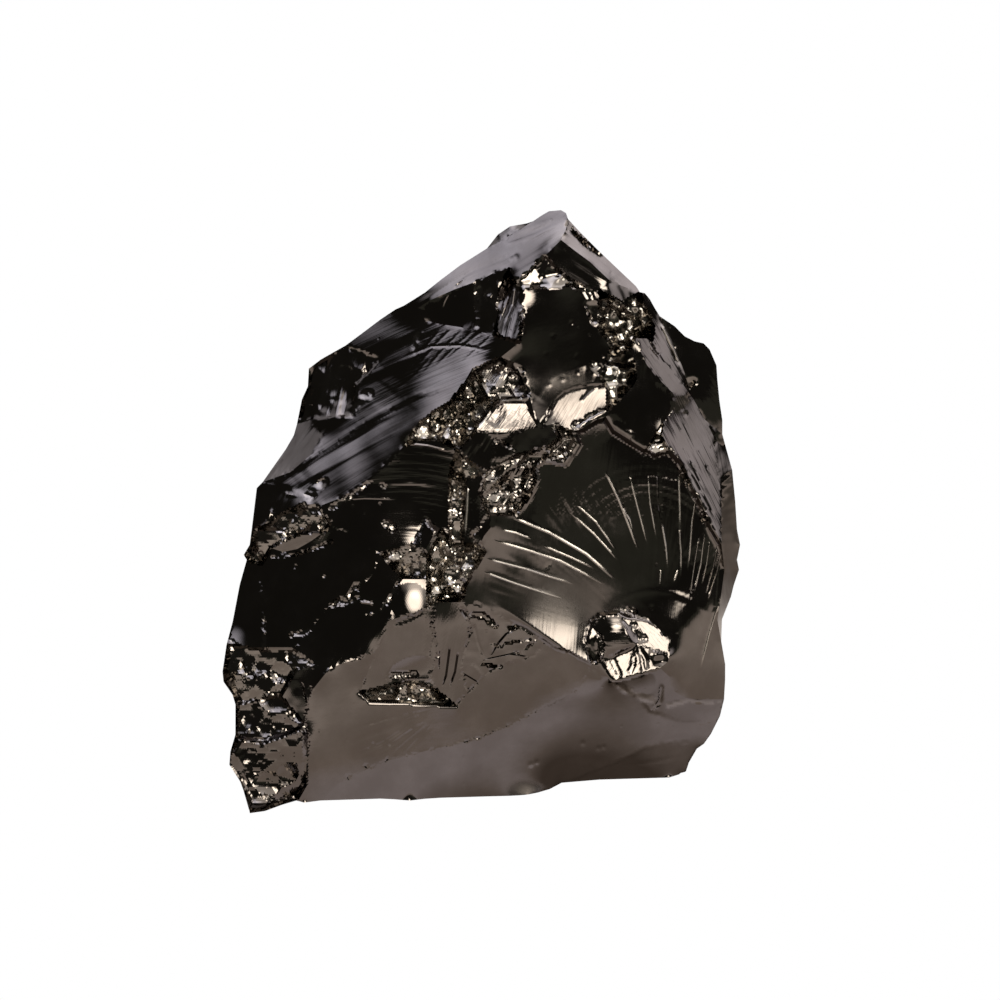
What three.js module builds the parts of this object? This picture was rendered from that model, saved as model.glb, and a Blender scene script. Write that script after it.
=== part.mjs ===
// A lump of elite shungite, a natural mirror-black stone that breaks in shell-like faces.
// It is one piece of rock, so it is one closed solid that rests on its flat underside.
//
// The stone is laid out on a plane that leans back a little: "across" runs to the right, "up"
// runs up the plane, and the third number, "out", is how far a point stands out of it. Each
// face has a loop of corners and a facing. One balance over the whole skin then finds how far
// every point stands out, so that the faces meet along their ridges and still face as stated.
import * as THREE from "three";

// Driving dimensions, in millimetres and degrees
const STONE_WIDTH = 52;
const LAYOUT_WIDTH = 51.8;
const LAYOUT_LEAN = 15;
const MESH_STEP = 1.05;
const CHIP_STEP = 0.8;
const HIDDEN_STEP = 2.2;
const CREASE_STEP = 0.7;
const CREASE_RISE = 0.16;
const GROUND_GAP = 0.1;
const THINNEST_RIM = 0.5;
const SEED = 20317;

const STONE = { colour: 0x24211f, roughness: 0.16, metalness: 0.9 };

// Corners of the faces: across and up. "foot" corners stand on the ground.
const corners = {
  edge1: [8.8, 59.1],
  edge2: [16.0, 51.8],
  edge3: [18.0, 49.4],
  edge4: [22.4, 46.7],
  edge5: [23.7, 44.5],
  edge6: [24.3, 37.6],
  edge7: [25.8, 28.0],
  edge8: [26.0, 24.0],
  edge9: [24.2, 16.8],
  edge10: [24.5, 11.0],
  edge11: [24.1, 9.3],
  edge12: [22.5, 6.5],
  foot1: [20.0, 3.4],
  foot2: [8.2, 2.6],
  foot3: [4.0, 1.4],
  foot4: [-7.0, 0.9],
  foot5: [-16.0, 0.9],
  foot6: [-18.4, 0.9],
  foot7: [-23.0, -0.3],
  edge13: [-23.7, 2.0],
  edge14: [-25.1, 4.5],
  edge15: [-24.5, 7.5],
  edge16: [-24.5, 10.5],
  edge17: [-25.7, 12.8],
  edge18: [-25.4, 16.5],
  edge19: [-23.4, 25.0],
  edge20: [-23.1, 26.5],
  edge21: [-22.9, 28.0],
  edge22: [-22.4, 32.2],
  edge23: [-21.8, 32.8],
  edge24: [-18.4, 38.6],
  edge25: [-17.2, 44.2],
  edge26: [-13.5, 46.5],
  edge27: [-7.6, 50.5],
  edge28: [0.7, 56.2],
  edge29: [5.3, 58.9],
  crown1: [-6.1, 50.3],
  crown2: [2.9, 54.0],
  crown3: [3.4, 52.9],
  crown4: [6.5, 55.4],
  crown5: [8.1, 57.0],
  scoop1: [-5.5, 49.0],
  scoop2: [1.5, 47.5],
  scoop3: [3.9, 46.7],
  strip1: [4.2, 52.2],
  leaf1: [2.0, 45.2],
  leaf2: [-0.6, 44.0],
  leaf3: [-3.0, 40.7],
  leaf4: [-7.5, 36.5],
  leaf5: [-16.3, 30.3],
  leaf6: [-17.0, 31.4],
  lobe1: [-16.7, 39.3],
  thorn1: [-10.0, 45.2],
  thorn2: [-12.8, 39.5],
  scar1: [12.0, 51.9],
  scar2: [12.2, 43.0],
  scar3: [12.8, 42.2],
  glow1: [6.0, 38.3],
  glow2: [7.3, 38.6],
  glow3: [9.2, 37.8],
  glow4: [12.7, 40.0],
  brush1: [5.0, 41.3],
  brush2: [2.0, 41.1],
  brush3: [3.2, 37.7],
  brush4: [-0.6, 37.8],
  lens1: [15.6, 47.4],
  lens2: [17.2, 47.0],
  hatch1: [21.3, 41.2],
  hatch2: [22.6, 39.0],
  hatch3: [24.2, 26.5],
  hatch4: [18.8, 36.2],
  hatch5: [18.2, 38.5],
  hatch6: [19.2, 41.8],
  rim1: [12.6, 39.3],
  rim2: [16.8, 36.2],
  mid1: [-2.2, 36.0],
  mid2: [3.8, 35.5],
  mid3: [0.6, 33.8],
  mid4: [-3.0, 33.2],
  mid5: [8.5, 34.8],
  mid6: [3.5, 29.5],
  mid7: [1.0, 29.5],
  mid8: [0.0, 26.5],
  mid9: [-1.8, 26.5],
  mid10: [-1.6, 33.0],
  mid11: [-3.0, 26.5],
  splint1: [-6.8, 26.5],
  splint2: [-5.5, 29.2],
  splint3: [-3.8, 28.0],
  splint4: [-5.2, 25.3],
  band1: [-15.0, 28.8],
  band2: [-15.5, 27.9],
  band3: [-21.0, 26.2],
  flank1: [-21.8, 24.6],
  low1: [-9.8, 25.6],
  low3: [-12.8, 21.4],
  low4: [-15.0, 20.5],
  low5: [-18.8, 16.0],
  low6: [-21.8, 16.0],
  low7: [-9.2, 18.9],
  low8: [-7.8, 23.2],
  glint1: [-5.2, 23.2],
  glint2: [-5.2, 20.3],
  sole1: [-17.0, 11.7],
  sole2: [-15.0, 14.2],
  sole3: [-10.4, 15.9],
  sole4: [-1.8, 21.0],
  sole5: [-4.5, 21.0],
  sole6: [-4.4, 12.0],
  sole7: [-12.0, 11.8],
  sole8: [-1.2, 11.8],
  sole9: [6.5, 16.9],
  slab1: [-16.7, 14.6],
  slab2: [-18.3, 14.2],
  slab3: [-20.0, 11.4],
  slab4: [-17.6, 8.6],
  toe1: [-22.4, 11.0],
  toe2: [-21.8, 7.0],
  toe3: [-17.4, 2.6],
  knob1: [11.2, 14.6],
  knob2: [11.1, 18.8],
  knob3: [13.8, 19.8],
  knob4: [15.6, 16.5],
  knob5: [19.0, 15.5],
  knob6: [12.3, 14.9],
  knob7: [18.0, 14.2],
  knob8: [13.2, 12.8],
  crack1: [19.2, 12.0],
  crack2: [17.0, 9.8],
  crown6: [3.0, 57.5],
  sheen1: [13.0, 52.9],
  crest1: [10.5, 52.2],
  swirl1: [14.2, 50.7],
  rim3: [17.5, 37.3],
  ledge1: [8.0, 37.2],
  band4: [-18.3, 26.1],
  sole12: [-2.5, 10.4],
  knob9: [16.3, 13.5],
  heel1: [-22.3, 3.7],
  heel2: [-18.5, 8.0],
  heel3: [-8.0, 10.7],
  heel4: [7.0, 10.7],
  heel5: [16.5, 9.1],
  heel6: [20.4, 5.9],
  back1: [-12.0, 40.0],
  back2: [6.0, 46.0],
  back3: [16.0, 34.0],
  back4: [-14.0, 22.0],
  back5: [4.0, 24.0],
  back6: [19.0, 18.0],
  back7: [-19.5, 14.0],
};

// Bends of the ridges that aren't straight, from the first corner named to the second
const bends = {
  "edge29 edge1": [[6.2, 59.5], [6.9, 59.9], [8.1, 60.0], [8.6, 59.7]],
  "edge1 edge2": [[10.0, 57.8], [12.0, 55.8], [14.0, 53.9], [15.6, 52.4]],
  "edge2 edge3": [[16.5, 51.7], [17.0, 51.1], [17.5, 50.2]],
  "edge3 edge4": [[19.5, 48.4], [20.5, 47.4], [21.5, 46.9]],
  "edge4 edge5": [[23.0, 46.1]],
  "edge5 edge6": [[23.8, 43.0], [24.0, 41.0], [24.3, 39.0]],
  "edge6 edge7": [[24.8, 35.8], [25.3, 34.0], [25.6, 31.0]],
  "edge7 edge8": [[26.1, 26.5], [25.8, 25.0]],
  "edge8 edge9": [[25.5, 22.5], [25.2, 21.3], [24.3, 19.0]],
  "edge9 edge10": [[24.6, 14.5], [24.6, 13.0]],
  "edge11 edge12": [[23.2, 7.5]],
  "edge12 foot1": [[21.8, 6.0], [21.0, 4.6], [20.7, 3.7]],
  "foot1 foot2": [[19.0, 3.1], [12.0, 2.9]],
  "foot2 foot3": [[7.0, 2.0]],
  "foot3 foot4": [[1.0, 1.3], [-4.0, 1.2]],
  "foot4 foot5": [[-10.0, 1.1]],
  "foot5 foot6": [[-17.6, 0.7]],
  "foot6 foot7": [[-19.8, 0.5], [-21.5, -0.1]],
  "edge13 edge14": [[-24.0, 2.8]],
  "edge14 edge15": [[-25.0, 5.8]],
  "edge16 edge17": [[-24.8, 11.5]],
  "edge17 edge18": [[-25.8, 13.8]],
  "edge18 edge19": [[-24.8, 18.8], [-24.1, 22.5]],
  "edge19 edge20": [[-23.7, 25.5]],
  "edge23 edge24": [[-20.9, 34.1], [-19.5, 36.1], [-18.7, 37.5]],
  "edge24 edge25": [[-17.9, 41.1], [-17.3, 42.4]],
  "edge25 edge26": [[-16.0, 45.1], [-15.3, 45.5]],
  "edge26 edge27": [[-12.0, 47.6], [-10.0, 49.1], [-8.5, 50.1]],
  "edge27 edge28": [[-5.5, 51.8], [-4.0, 53.0], [-2.0, 54.5]],
  "edge28 edge29": [[1.8, 57.6], [3.0, 58.4], [4.7, 58.7]],
  "crown1 crown2": [[-5.0, 51.0], [-2.5, 52.1], [0.0, 53.0], [1.7, 53.9]],
  "crown3 crown4": [[4.0, 53.1], [5.0, 53.9]],
  "crown5 edge1": [[8.6, 58.1]],
  "crown2 scoop2": [[2.0, 52.0], [1.8, 50.0]],
  "scoop1 scoop2": [[-4.0, 48.6], [-2.0, 48.3], [0.0, 47.8]],
  "strip1 scoop3": [[4.2, 49.0]],
  "leaf2 leaf3": [[-1.4, 42.8]],
  "leaf3 leaf4": [[-4.0, 40.2], [-6.0, 38.7], [-7.2, 37.2]],
  "leaf4 leaf5": [[-9.0, 35.0], [-12.0, 32.4], [-14.0, 31.2]],
  "lobe1 edge23": [[-16.0, 37.5], [-17.0, 35.5], [-19.0, 33.8]],
  "scar1 scar2": [[12.0, 48.0], [13.2, 46.5], [12.7, 44.8]],
  "glow1 scar3": [[6.8, 39.5], [7.5, 41.0], [8.5, 41.8], [10.0, 42.3], [12.0, 42.5]],
  "glow4 scar3": [[12.8, 41.0]],
  "leaf1 brush1": [[3.0, 44.6], [4.2, 43.3]],
  "brush1 glow1": [[5.3, 40.0], [5.6, 38.8]],
  "brush2 brush4": [[1.0, 40.2], [-0.2, 38.8]],
  "brush4 brush3": [[1.7, 37.5]],
  "edge2 lens2": [[16.3, 50.6], [17.0, 49.2], [17.4, 48.0]],
  "edge3 hatch1": [[19.2, 47.0], [20.4, 44.0], [20.8, 42.6]],
  "lens1 lens2": [[16.4, 47.4]],
  "lens2 hatch1": [[18.4, 45.0], [20.0, 43.0]],
  "lens1 hatch6": [[16.0, 46.0], [16.7, 44.5], [17.5, 43.5]],
  "hatch2 hatch3": [[23.4, 37.4], [23.8, 35.0], [24.2, 31.0]],
  "hatch3 hatch4": [[23.2, 28.2], [22.0, 31.0], [21.2, 32.5], [20.2, 34.8]],
  "hatch5 hatch6": [[19.4, 40.2]],
  "rim1 rim2": [[13.4, 38.0], [15.0, 37.0], [16.4, 36.1]],
  "glow3 rim1": [[10.3, 38.2], [11.6, 39.0]],
  "glow3 mid5": [[9.7, 36.5]],
  "mid5 mid6": [[6.5, 35.2], [5.3, 34.5], [5.5, 33.0], [4.8, 31.2]],
  "mid7 mid8": [[1.2, 28.4], [0.4, 27.4]],
  "mid8 sole4": [[0.5, 25.8], [-0.7, 24.0], [-1.5, 22.2]],
  "leaf4 mid1": [[-6.0, 37.0], [-4.0, 37.0], [-3.0, 36.4]],
  "band1 low1": [[-14.0, 28.0], [-12.5, 27.4], [-11.3, 26.4]],
  "leaf5 edge21": [[-18.0, 30.5], [-19.8, 29.6], [-21.0, 28.6]],
  "band2 band3": [[-18.0, 27.6], [-19.6, 27.0]],
  "flank1 low6": [[-22.0, 22.0], [-21.6, 19.0]],
  "low3 low1": [[-10.8, 23.4]],
  "low4 low5": [[-17.0, 18.0]],
  "sole2 sole3": [[-13.6, 14.7], [-11.8, 15.3]],
  "sole3 low7": [[-9.8, 17.2]],
  "sole4 sole9": [[0.0, 20.5], [1.5, 19.8], [3.0, 19.0], [5.3, 17.6]],
  "sole9 knob1": [[7.5, 16.2], [9.0, 15.8], [10.0, 15.2]],
  "sole5 sole6": [[-4.8, 18.5], [-4.2, 15.5], [-5.0, 13.6]],
  "sole4 sole8": [[-1.2, 19.4], [-1.0, 17.8], [-2.0, 14.5]],
  "foot2 edge12": [[12.0, 4.0], [14.5, 5.0], [16.5, 6.0], [18.5, 6.5], [21.0, 6.7]],
  "crack1 edge10": [[20.5, 11.2], [22.0, 11.0]],
  "crack2 edge11": [[18.8, 9.2], [20.5, 8.5], [22.5, 8.6]],
  "knob2 knob3": [[12.0, 19.6]],
  "knob3 knob5": [[14.8, 19.3], [16.8, 19.0], [18.0, 18.0], [18.8, 16.7]],
  "knob5 knob7": [[18.8, 14.8]],
  "knob1 knob8": [[12.0, 13.2]],
  "knob8 crack2": [[14.5, 11.8], [16.0, 11.1]],
  "crack1 crack2": [[18.2, 10.4]],
  "knob1 knob2": [[10.6, 17.0]],
  "crown5 sheen1": [[9.5, 55.9], [11.0, 54.8]],
  "sheen1 edge2": [[14.5, 52.3]],
  "crown4 crest1": [[7.5, 54.2], [9.0, 53.0]],
  "strip1 crest1": [[7.0, 52.2], [9.0, 52.4]],
  "glow4 glow3": [[12.0, 39.8], [10.3, 38.8]],
  "glow4 lens1": [[13.5, 40.7], [14.5, 41.8], [15.5, 43.0], [15.4, 44.5], [14.8, 46.0]],
  "leaf6 edge23": [[-19.5, 32.3]],
  "thorn2 thorn1": [[-12.5, 42.5]],
  "hatch4 rim2": [[17.5, 35.7]],
  "hatch4 hatch5": [[18.0, 37.5]],
  "hatch3 edge9": [[24.5, 24.0], [24.1, 21.0], [23.8, 19.0]],
  "ledge1 mid2": [[6.8, 36.3], [5.5, 36.0]],
  "mid2 brush3": [[3.0, 36.5]],
  "mid7 mid3": [[0.0, 31.5]],
  "mid1 mid3": [[-1.0, 34.7]],
  "mid4 mid1": [[-2.8, 34.5]],
  "brush2 leaf2": [[0.8, 41.1], [0.2, 42.2]],
  "glint2 low7": [[-6.5, 19.6], [-8.0, 19.3]],
  "low3 low7": [[-10.8, 20.8], [-9.8, 20.0]],
  "band3 band4": [[-19.7, 25.8]],
  "band4 band2": [[-16.9, 26.9]],
  "sole6 sole7": [[-6.5, 12.8], [-8.5, 12.5]],
  "sole9 sole8": [[5.5, 15.5], [1.0, 14.0]],
  "sole12 sole7": [[-7.0, 10.7], [-11.0, 10.9]],
  "foot5 knob1": [[-13.0, 3.2], [-10.0, 4.7], [-5.0, 6.0], [0.0, 7.2], [4.0, 9.0], [8.0, 11.0], [10.0, 12.2]],
  "slab4 toe3": [[-17.2, 7.5], [-17.4, 4.0]],
  "toe3 foot5": [[-17.0, 2.0]],
  "crack1 knob7": [[19.1, 13.2]],
  "knob2 knob6": [[12.0, 17.5], [12.4, 16.5]],
};

// Faces: a loop of corners and the way each looks: turned right of straight ahead and lifted
// above level, in degrees. Where a face curves, each facing also names its place. A face with
// a "hold" keeps its facing that much harder than its neighbours keep theirs.
const frontFaces = {
  crown: {
    loop: "edge27 edge28 crown6 edge29 edge1 crown5 crown4 crown3 crown2 crown1",
    looks: [[-36, 48, 4, 57], [-34, 56, -4, 51.8]],
    hold: 2,
  },
  crownBack: { loop: "edge28 edge29 crown6", looks: [[-80, 42]], hold: 3 },
  leftScoop: { loop: "crown1 crown2 scoop2 scoop1", looks: [[-20, 5, -3, 51], [-38, 30, 0, 49]] },
  scoopStrip: { loop: "crown2 crown3 strip1 scoop3 scoop2", looks: [[-50, 44]], hold: 6 },
  leaf: {
    loop: "edge26 edge27 crown1 scoop1 scoop2 scoop3 leaf1 leaf2 leaf3 leaf4 leaf5 leaf6 edge23"
      + " lobe1 thorn2 thorn1",
    looks: [
      [-40, 40, 0, 45], [-40, 41, -3.5, 42], [-40, 49, -8.5, 38], [-40, 43, -13, 34],
      [-44, 28, -18, 32.5], [-46, 38, -9, 48.5], [-50, 19, -8, 45.8], [-50, 21, -12, 42.5],
      [-52, 20, -16, 38.5], [-48, 24, -3, 47.5], [-50, 20, -17, 35.5],
    ],
    hold: 2,
  },
  thorns: { loop: "edge25 edge26 thorn1 thorn2 lobe1 edge24", looks: [[-52, 12]], chips: [1.6, 0.35] },
  lobe: { loop: "edge24 lobe1 edge23", looks: [[-62, 45]], hold: 2 },
  leftCorner: { loop: "edge23 leaf6 leaf5 edge21 edge22", looks: [[-46, 14]] },
  sheen: { loop: "crown5 edge1 edge2 sheen1", looks: [[50, 50]], hold: 2 },
  night: { loop: "crown5 sheen1 scar1 crest1 crown4", looks: [[18, 12]], hold: 2 },
  crestRubble: { loop: "crown3 crown4 crest1 strip1", looks: [[-6, 30]], hold: 3, chips: [0.9, 0.2] },
  swirl: { loop: "scar1 sheen1 edge2 swirl1", looks: [[50, 30]], hold: 3 },
  topScar: {
    loop: "strip1 crest1 scar1 scar2 scar3 glow1 brush1 leaf1 scoop3",
    looks: [[4, 10, 8, 50], [0, 14, 7, 44]],
  },
  glow: { loop: "glow1 scar3 glow4 glow3 glow2", looks: [[-4, 28]], hold: 4 },
  rim: { loop: "glow3 glow4 rim1", looks: [[-2, 34]], hold: 6 },
  rightRubble: {
    loop: "scar1 swirl1 edge2 lens2 lens1 glow4 scar3 scar2",
    looks: [[32, 16]],
    chips: [1.5, 0.4],
  },
  edgeStrip: { loop: "edge2 edge3 hatch1 lens2", looks: [[60, 34]], hold: 3 },
  lens: { loop: "lens1 lens2 hatch1 hatch6", looks: [[44, 30]], hold: 3 },
  backFlat: { loop: "edge3 edge4 edge5 edge6 hatch2 hatch1", looks: [[30, 6]], hold: 3 },
  rightEdge: { loop: "hatch2 edge6 edge7 edge8 edge9 hatch3", looks: [[72, 2]] },
  hatch: {
    loop: "hatch1 hatch2 hatch3 hatch4 hatch5 hatch6",
    looks: [[46, 18, 19, 39], [56, 22, 23.5, 34]],
    hold: 2,
  },
  blackScar: {
    loop: "glow4 lens1 hatch6 hatch5 rim3 rim2 rim1",
    looks: [[24, 14, 14, 40], [27, 8, 17, 42]],
  },
  crumbs: { loop: "hatch5 hatch4 rim2 rim3", looks: [[20, 20]], chips: [0.9, 0.25] },
  fan: {
    loop: "mid7 mid6 mid5 glow3 rim1 rim2 hatch4 hatch3 edge9 edge10 crack1 knob7 knob5 knob3"
      + " knob2 knob1 sole9 sole4 mid8",
    looks: [
      [20, 26, 12, 37.5], [8, -8, 0.8, 26], [8, 12, 5, 30], [10, 16, 6, 25.5], [14, 17, 11, 31],
      [12, 24, 8, 23], [14, 23, 10.5, 26], [16, 21, 13, 23.5], [18, 12, 15, 29], [24, 12, 20, 29],
      [18, 14, 13, 22], [22, 12, 18, 23], [8, 3, 3, 20.5], [34, -2, 23, 17], [30, -4, 21, 12.5],
      [30, 4, 22, 24], [0, 27, 8.5, 18.5], [16, 12, 17, 20.5],
    ],
  },
  ledge: { loop: "brush3 glow1 glow2 ledge1 mid2", looks: [[12, 16]], hold: 3 },
  lumps: { loop: "mid2 ledge1 glow2 glow3 mid5 mid6 mid7 mid3", looks: [[8, 12]], chips: [1.6, 0.6] },
  pocketFace: { loop: "brush4 brush3 mid2 mid3 mid1", looks: [[-4, -2]] },
  pocket: { loop: "mid1 mid3 mid10 mid4", looks: [[-20, 5]], chips: [1, 0.4] },
  blackScoop: { loop: "mid10 mid3 mid7 mid8 mid9", looks: [[-32, 8]] },
  splinters: { loop: "mid4 mid10 mid9 mid11", looks: [[-30, 5]], chips: [0.9, 0.3] },
  brushTop: { loop: "leaf2 leaf1 brush1 brush2", looks: [[-6, 31]], hold: 5, chips: [1.2, 0.35] },
  brushed: { loop: "brush2 brush1 glow1 brush3 brush4", looks: [[-8, 28]], hold: 4 },
  leftRubble: { loop: "leaf3 leaf2 brush2 brush4 mid1 leaf4", looks: [[-15, 18]], chips: [1.3, 0.5] },
  rippled: {
    loop: "leaf5 leaf4 mid1 mid4 mid11 splint3 splint2 splint1 low1 band1",
    looks: [[-15, 2, -5, 34], [-22, 14, -10, 28]],
  },
  splint: { loop: "splint1 splint2 splint3 splint4", looks: [[-26, 32]], hold: 2 },
  dimple: { loop: "low1 splint1 splint4 glint1 low8", looks: [[-15, 10]], chips: [1, 0.3] },
  lowRubble: {
    loop: "splint4 splint3 mid11 mid9 mid8 sole4 sole5 glint2 glint1",
    looks: [[-5, 15]],
    chips: [1.3, 0.5],
  },
  glint: { loop: "low8 glint1 glint2 low7", looks: [[-5, 28]], hold: 5 },
  wedge: { loop: "low1 low8 low7 low3", looks: [[-25, 12]] },
  lowScoop: {
    loop: "low4 low3 low7 sole3 sole2 slab1 low5",
    looks: [[-28, 16, -13, 19], [-26, 8, -13, 16]],
  },
  flank: { loop: "flank1 band3 band4 band2 band1 low1 low3 low4 low5 low6", looks: [[-28, 12]] },
  flankLeft: { loop: "edge19 flank1 low6 edge18", looks: [[-43, 14]] },
  band: {
    loop: "edge21 leaf5 band1 band2 band3 flank1 edge19 edge20",
    looks: [[-38, -2]],
    chips: [1.3, 0.4],
  },
  bandLens: { loop: "band2 band3 band4", looks: [[-28, -14]], hold: 6 },
  slab: { loop: "slab1 sole1 slab4 slab3 slab2", looks: [[-24, -6]], hold: 3 },
  chink: { loop: "slab1 sole2 sole1", looks: [[-40, 10]] },
  nodules: {
    loop: "edge18 low6 low5 slab1 slab2 slab3 toe1 edge16 edge17",
    looks: [[-20, 6]],
    chips: [1.8, 0.6],
  },
  nodulesMid: { loop: "edge15 edge16 toe1 slab3 slab4 toe2", looks: [[-24, 10]], chips: [1.7, 0.5] },
  toe: {
    loop: "edge14 edge15 toe2 slab4 toe3 foot6 foot7 edge13",
    looks: [[-14, 2]],
    chips: [1.9, 0.45],
  },
  toeGap: { loop: "toe3 foot5 foot6", looks: [[0, -10]] },
  petal: {
    loop: "sole3 low7 glint2 sole5 sole6 sole7",
    looks: [[-4, -8, -8, 17], [-8, 2, -5.2, 15.5], [-4, -4, -6.5, 20]],
  },
  petalRight: {
    loop: "sole5 sole4 sole8 sole12 sole6",
    looks: [[14, -8, -2.4, 17], [8, 2, -3.4, 20], [14, -4, -3, 13.5]],
  },
  roughSole: { loop: "sole4 sole9 sole8", looks: [[16, -6]] },
  chipLedge: { loop: "sole7 sole6 sole12", looks: [[0, 15]], chips: [0.9, 0.25] },
  sole: {
    loop: "sole1 sole2 sole3 sole7 sole12 sole8 sole9 knob1 foot5 toe3 slab4",
    looks: [[10, -7], [8, -16, -16.4, 7.5]],
  },
  soleLow: { loop: "foot5 knob1 knob8 crack2 edge11 edge12 foot2 foot3 foot4", looks: [[14, -14]] },
  soleRight: { loop: "foot2 edge12 foot1", looks: [[26, -20]] },
  soleLens: { loop: "crack2 crack1 edge10 edge11", looks: [[34, -20]] },
  knobLeft: { loop: "knob1 knob2 knob6", looks: [[-14, 26]], hold: 6 },
  knobFront: { loop: "knob2 knob3 knob4 knob6", looks: [[-10, 12]], hold: 3 },
  knobBright: { loop: "knob3 knob5 knob4", looks: [[22, 28]], hold: 4 },
  knobChin: { loop: "knob6 knob4 knob9 knob8", looks: [[-6, 32]], hold: 7 },
  knobCheek: { loop: "knob4 knob5 knob7 knob9", looks: [[24, 26]], hold: 7 },
  knobFoot: { loop: "knob8 knob9 knob7 crack1 crack2", looks: [[20, -24]] },
  knobSide: { loop: "knob1 knob6 knob8", looks: [[-15, -10]] },
};

// Fine raised lines inside a face: the rays and rings that a shell-like break leaves
const creases = {
  crown: [
    [[-5.0, 51.9], [4.0, 57.0], [8.0, 58.8]],
    [[-1.7, 53.3], [4.0, 55.8], [7.5, 57.6]],
  ],
  leaf: [
    [[-15.0, 36.8], [-10.0, 39.5], [-6.0, 41.2], [-3.8, 42.0]],
    [[-18.5, 33.0], [-15.0, 34.7], [-10.0, 37.2], [-7.4, 38.4]],
    [[-7.0, 46.0], [-5.0, 46.4], [-2.0, 46.4], [1.0, 46.0]],
    [[-11.5, 43.2], [-7.5, 45.2]],
  ],
  hatch: [
    [[20.6, 40.0], [22.0, 36.0], [23.2, 31.5]],
    [[19.6, 38.2], [21.2, 34.4]],
  ],
  fan: [
    [[11.0, 31.8], [12.0, 32.7], [13.2, 33.3], [15.0, 33.9], [17.0, 34.1], [18.8, 33.9]],
    [[12.5, 32.2], [14.0, 30.0], [15.8, 25.9]],
    [[15.0, 33.0], [16.5, 27.7]],
    [[16.6, 33.0], [17.6, 27.2]],
    [[18.0, 33.0], [18.0, 31.5], [18.8, 25.8]],
    [[10.0, 30.2], [13.8, 26.0]],
    [[3.5, 29.0], [8.0, 27.0], [12.0, 24.8]],
    [[2.0, 26.9], [7.0, 25.0], [11.5, 22.8]],
    [[1.0, 24.9], [6.7, 23.3]],
    [[0.6, 23.4], [3.5, 22.5], [8.0, 21.0]],
    [[23.4, 20.4], [22.9, 18.6], [22.2, 15.0]],
    [[20.0, 31.3], [20.1, 25.0]],
    [[21.7, 27.0], [21.2, 22.0]],
    [[23.2, 26.0], [22.5, 22.5]],
  ],
  rippled: [
    [[-11.0, 32.0], [-7.0, 32.6], [-4.0, 32.0]],
    [[-13.0, 30.6], [-8.0, 30.9], [-4.6, 30.4]],
    [[-8.0, 34.7], [-4.0, 34.2]],
  ],
  petalRight: [
    [[-3.2, 16.0], [-3.6, 12.6]],
    [[-2.4, 17.0], [-2.6, 13.4]],
  ],
  sole: [
    [[-5.0, 9.6], [-13.0, 8.2]],
    [[-5.5, 9.0], [-12.0, 5.4]],
    [[-4.5, 8.8], [-8.5, 6.2]],
  ],
};

// Faces on the far side, told in the same layout as if the stone were clear
const backFaces = {
  backCrown: { loop: "edge27 edge28 edge29 back2 back1", looks: [[-148, 40]] },
  backPeak: { loop: "edge29 edge1 edge2 edge3 edge4 back2", looks: [[146, 40]] },
  backShoulder: { loop: "edge24 edge25 edge26 edge27 back1", looks: [[-122, 20]] },
  backRight: { loop: "edge4 edge5 edge6 back3 back2", looks: [[132, 20]] },
  backMain: { loop: "back1 back2 back5 back4", looks: [[-172, 22]] },
  backWedge: { loop: "back2 back3 back5", looks: [[165, 20]] },
  backLeft: { loop: "edge19 edge20 edge21 edge22 edge23 edge24 back1 back4", looks: [[-118, 8]] },
  backLow: { loop: "edge14 edge15 edge16 edge17 edge18 edge19 back4 back7", looks: [[-114, 5]] },
  backFoot: { loop: "back4 back5 heel4 heel3 heel2 back7", looks: [[-166, 9]] },
  backCheek: { loop: "back5 back3 back6 heel5 heel4", looks: [[157, 10]] },
  backSide: { loop: "edge6 edge7 edge8 back6 back3", looks: [[118, 8]] },
  backHip: { loop: "edge8 edge9 edge10 edge11 edge12 foot1 heel6 heel5 back6", looks: [[116, -9]] },
  backToe: { loop: "foot7 edge13 edge14 back7 heel2 heel1", looks: [[-112, -14]] },
  base: {
    loop: "foot7 foot6 foot5 foot4 foot3 foot2 foot1 heel6 heel5 heel4 heel3 heel2 heel1",
    looks: [[0, -90]],
  },
};

const radians = Math.PI / 180;
const leanCos = Math.cos(LAYOUT_LEAN * radians);
const leanSin = Math.sin(LAYOUT_LEAN * radians);

// A steady run of chances, so that every build chips the same stone
let chance = SEED;
function random() {
  chance = (chance * 1103515245 + 12345) % 2147483648;
  return chance / 2147483648;
}

// How soon one facing of a curved face gives way to the next, in square millimetres
const LOOK_REACH = 1.5;

// How fast a face stands out across and up the layout, from the way it looks
function slopeOf(turn, lift) {
  const right = Math.sin(turn * radians) * Math.cos(lift * radians);
  const near = Math.cos(turn * radians) * Math.cos(lift * radians);
  const high = Math.sin(lift * radians);
  const out = near * leanCos + high * leanSin;
  const climb = high * leanCos - near * leanSin;
  return [-right / out, -climb / out];
}

// The slope that a face asks for at a place, its facings weighed by how near they are
function slopeAt(face, across, up) {
  let total = 0;
  const slope = [0, 0];
  for (const [turn, lift, x = across, y = up] of face.looks) {
    const weight = 1 / ((across - x) ** 2 + (up - y) ** 2 + LOOK_REACH) ** 2;
    const [a, b] = slopeOf(turn, lift);
    slope[0] += a * weight;
    slope[1] += b * weight;
    total += weight;
  }
  return [slope[0] / total, slope[1] / total];
}

// Points of the whole skin: across, up, out; "grounded" ones stand on the flat underside
const points = [];
const cornerIndex = {};
const ridges = {};
const baseCorners = new Set(backFaces.base.loop.split(" "));

function addPoint(across, up, grounded = false, rise = 0) {
  points.push({ across, up, out: 0, grounded, rise });
  return points.length - 1;
}

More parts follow.
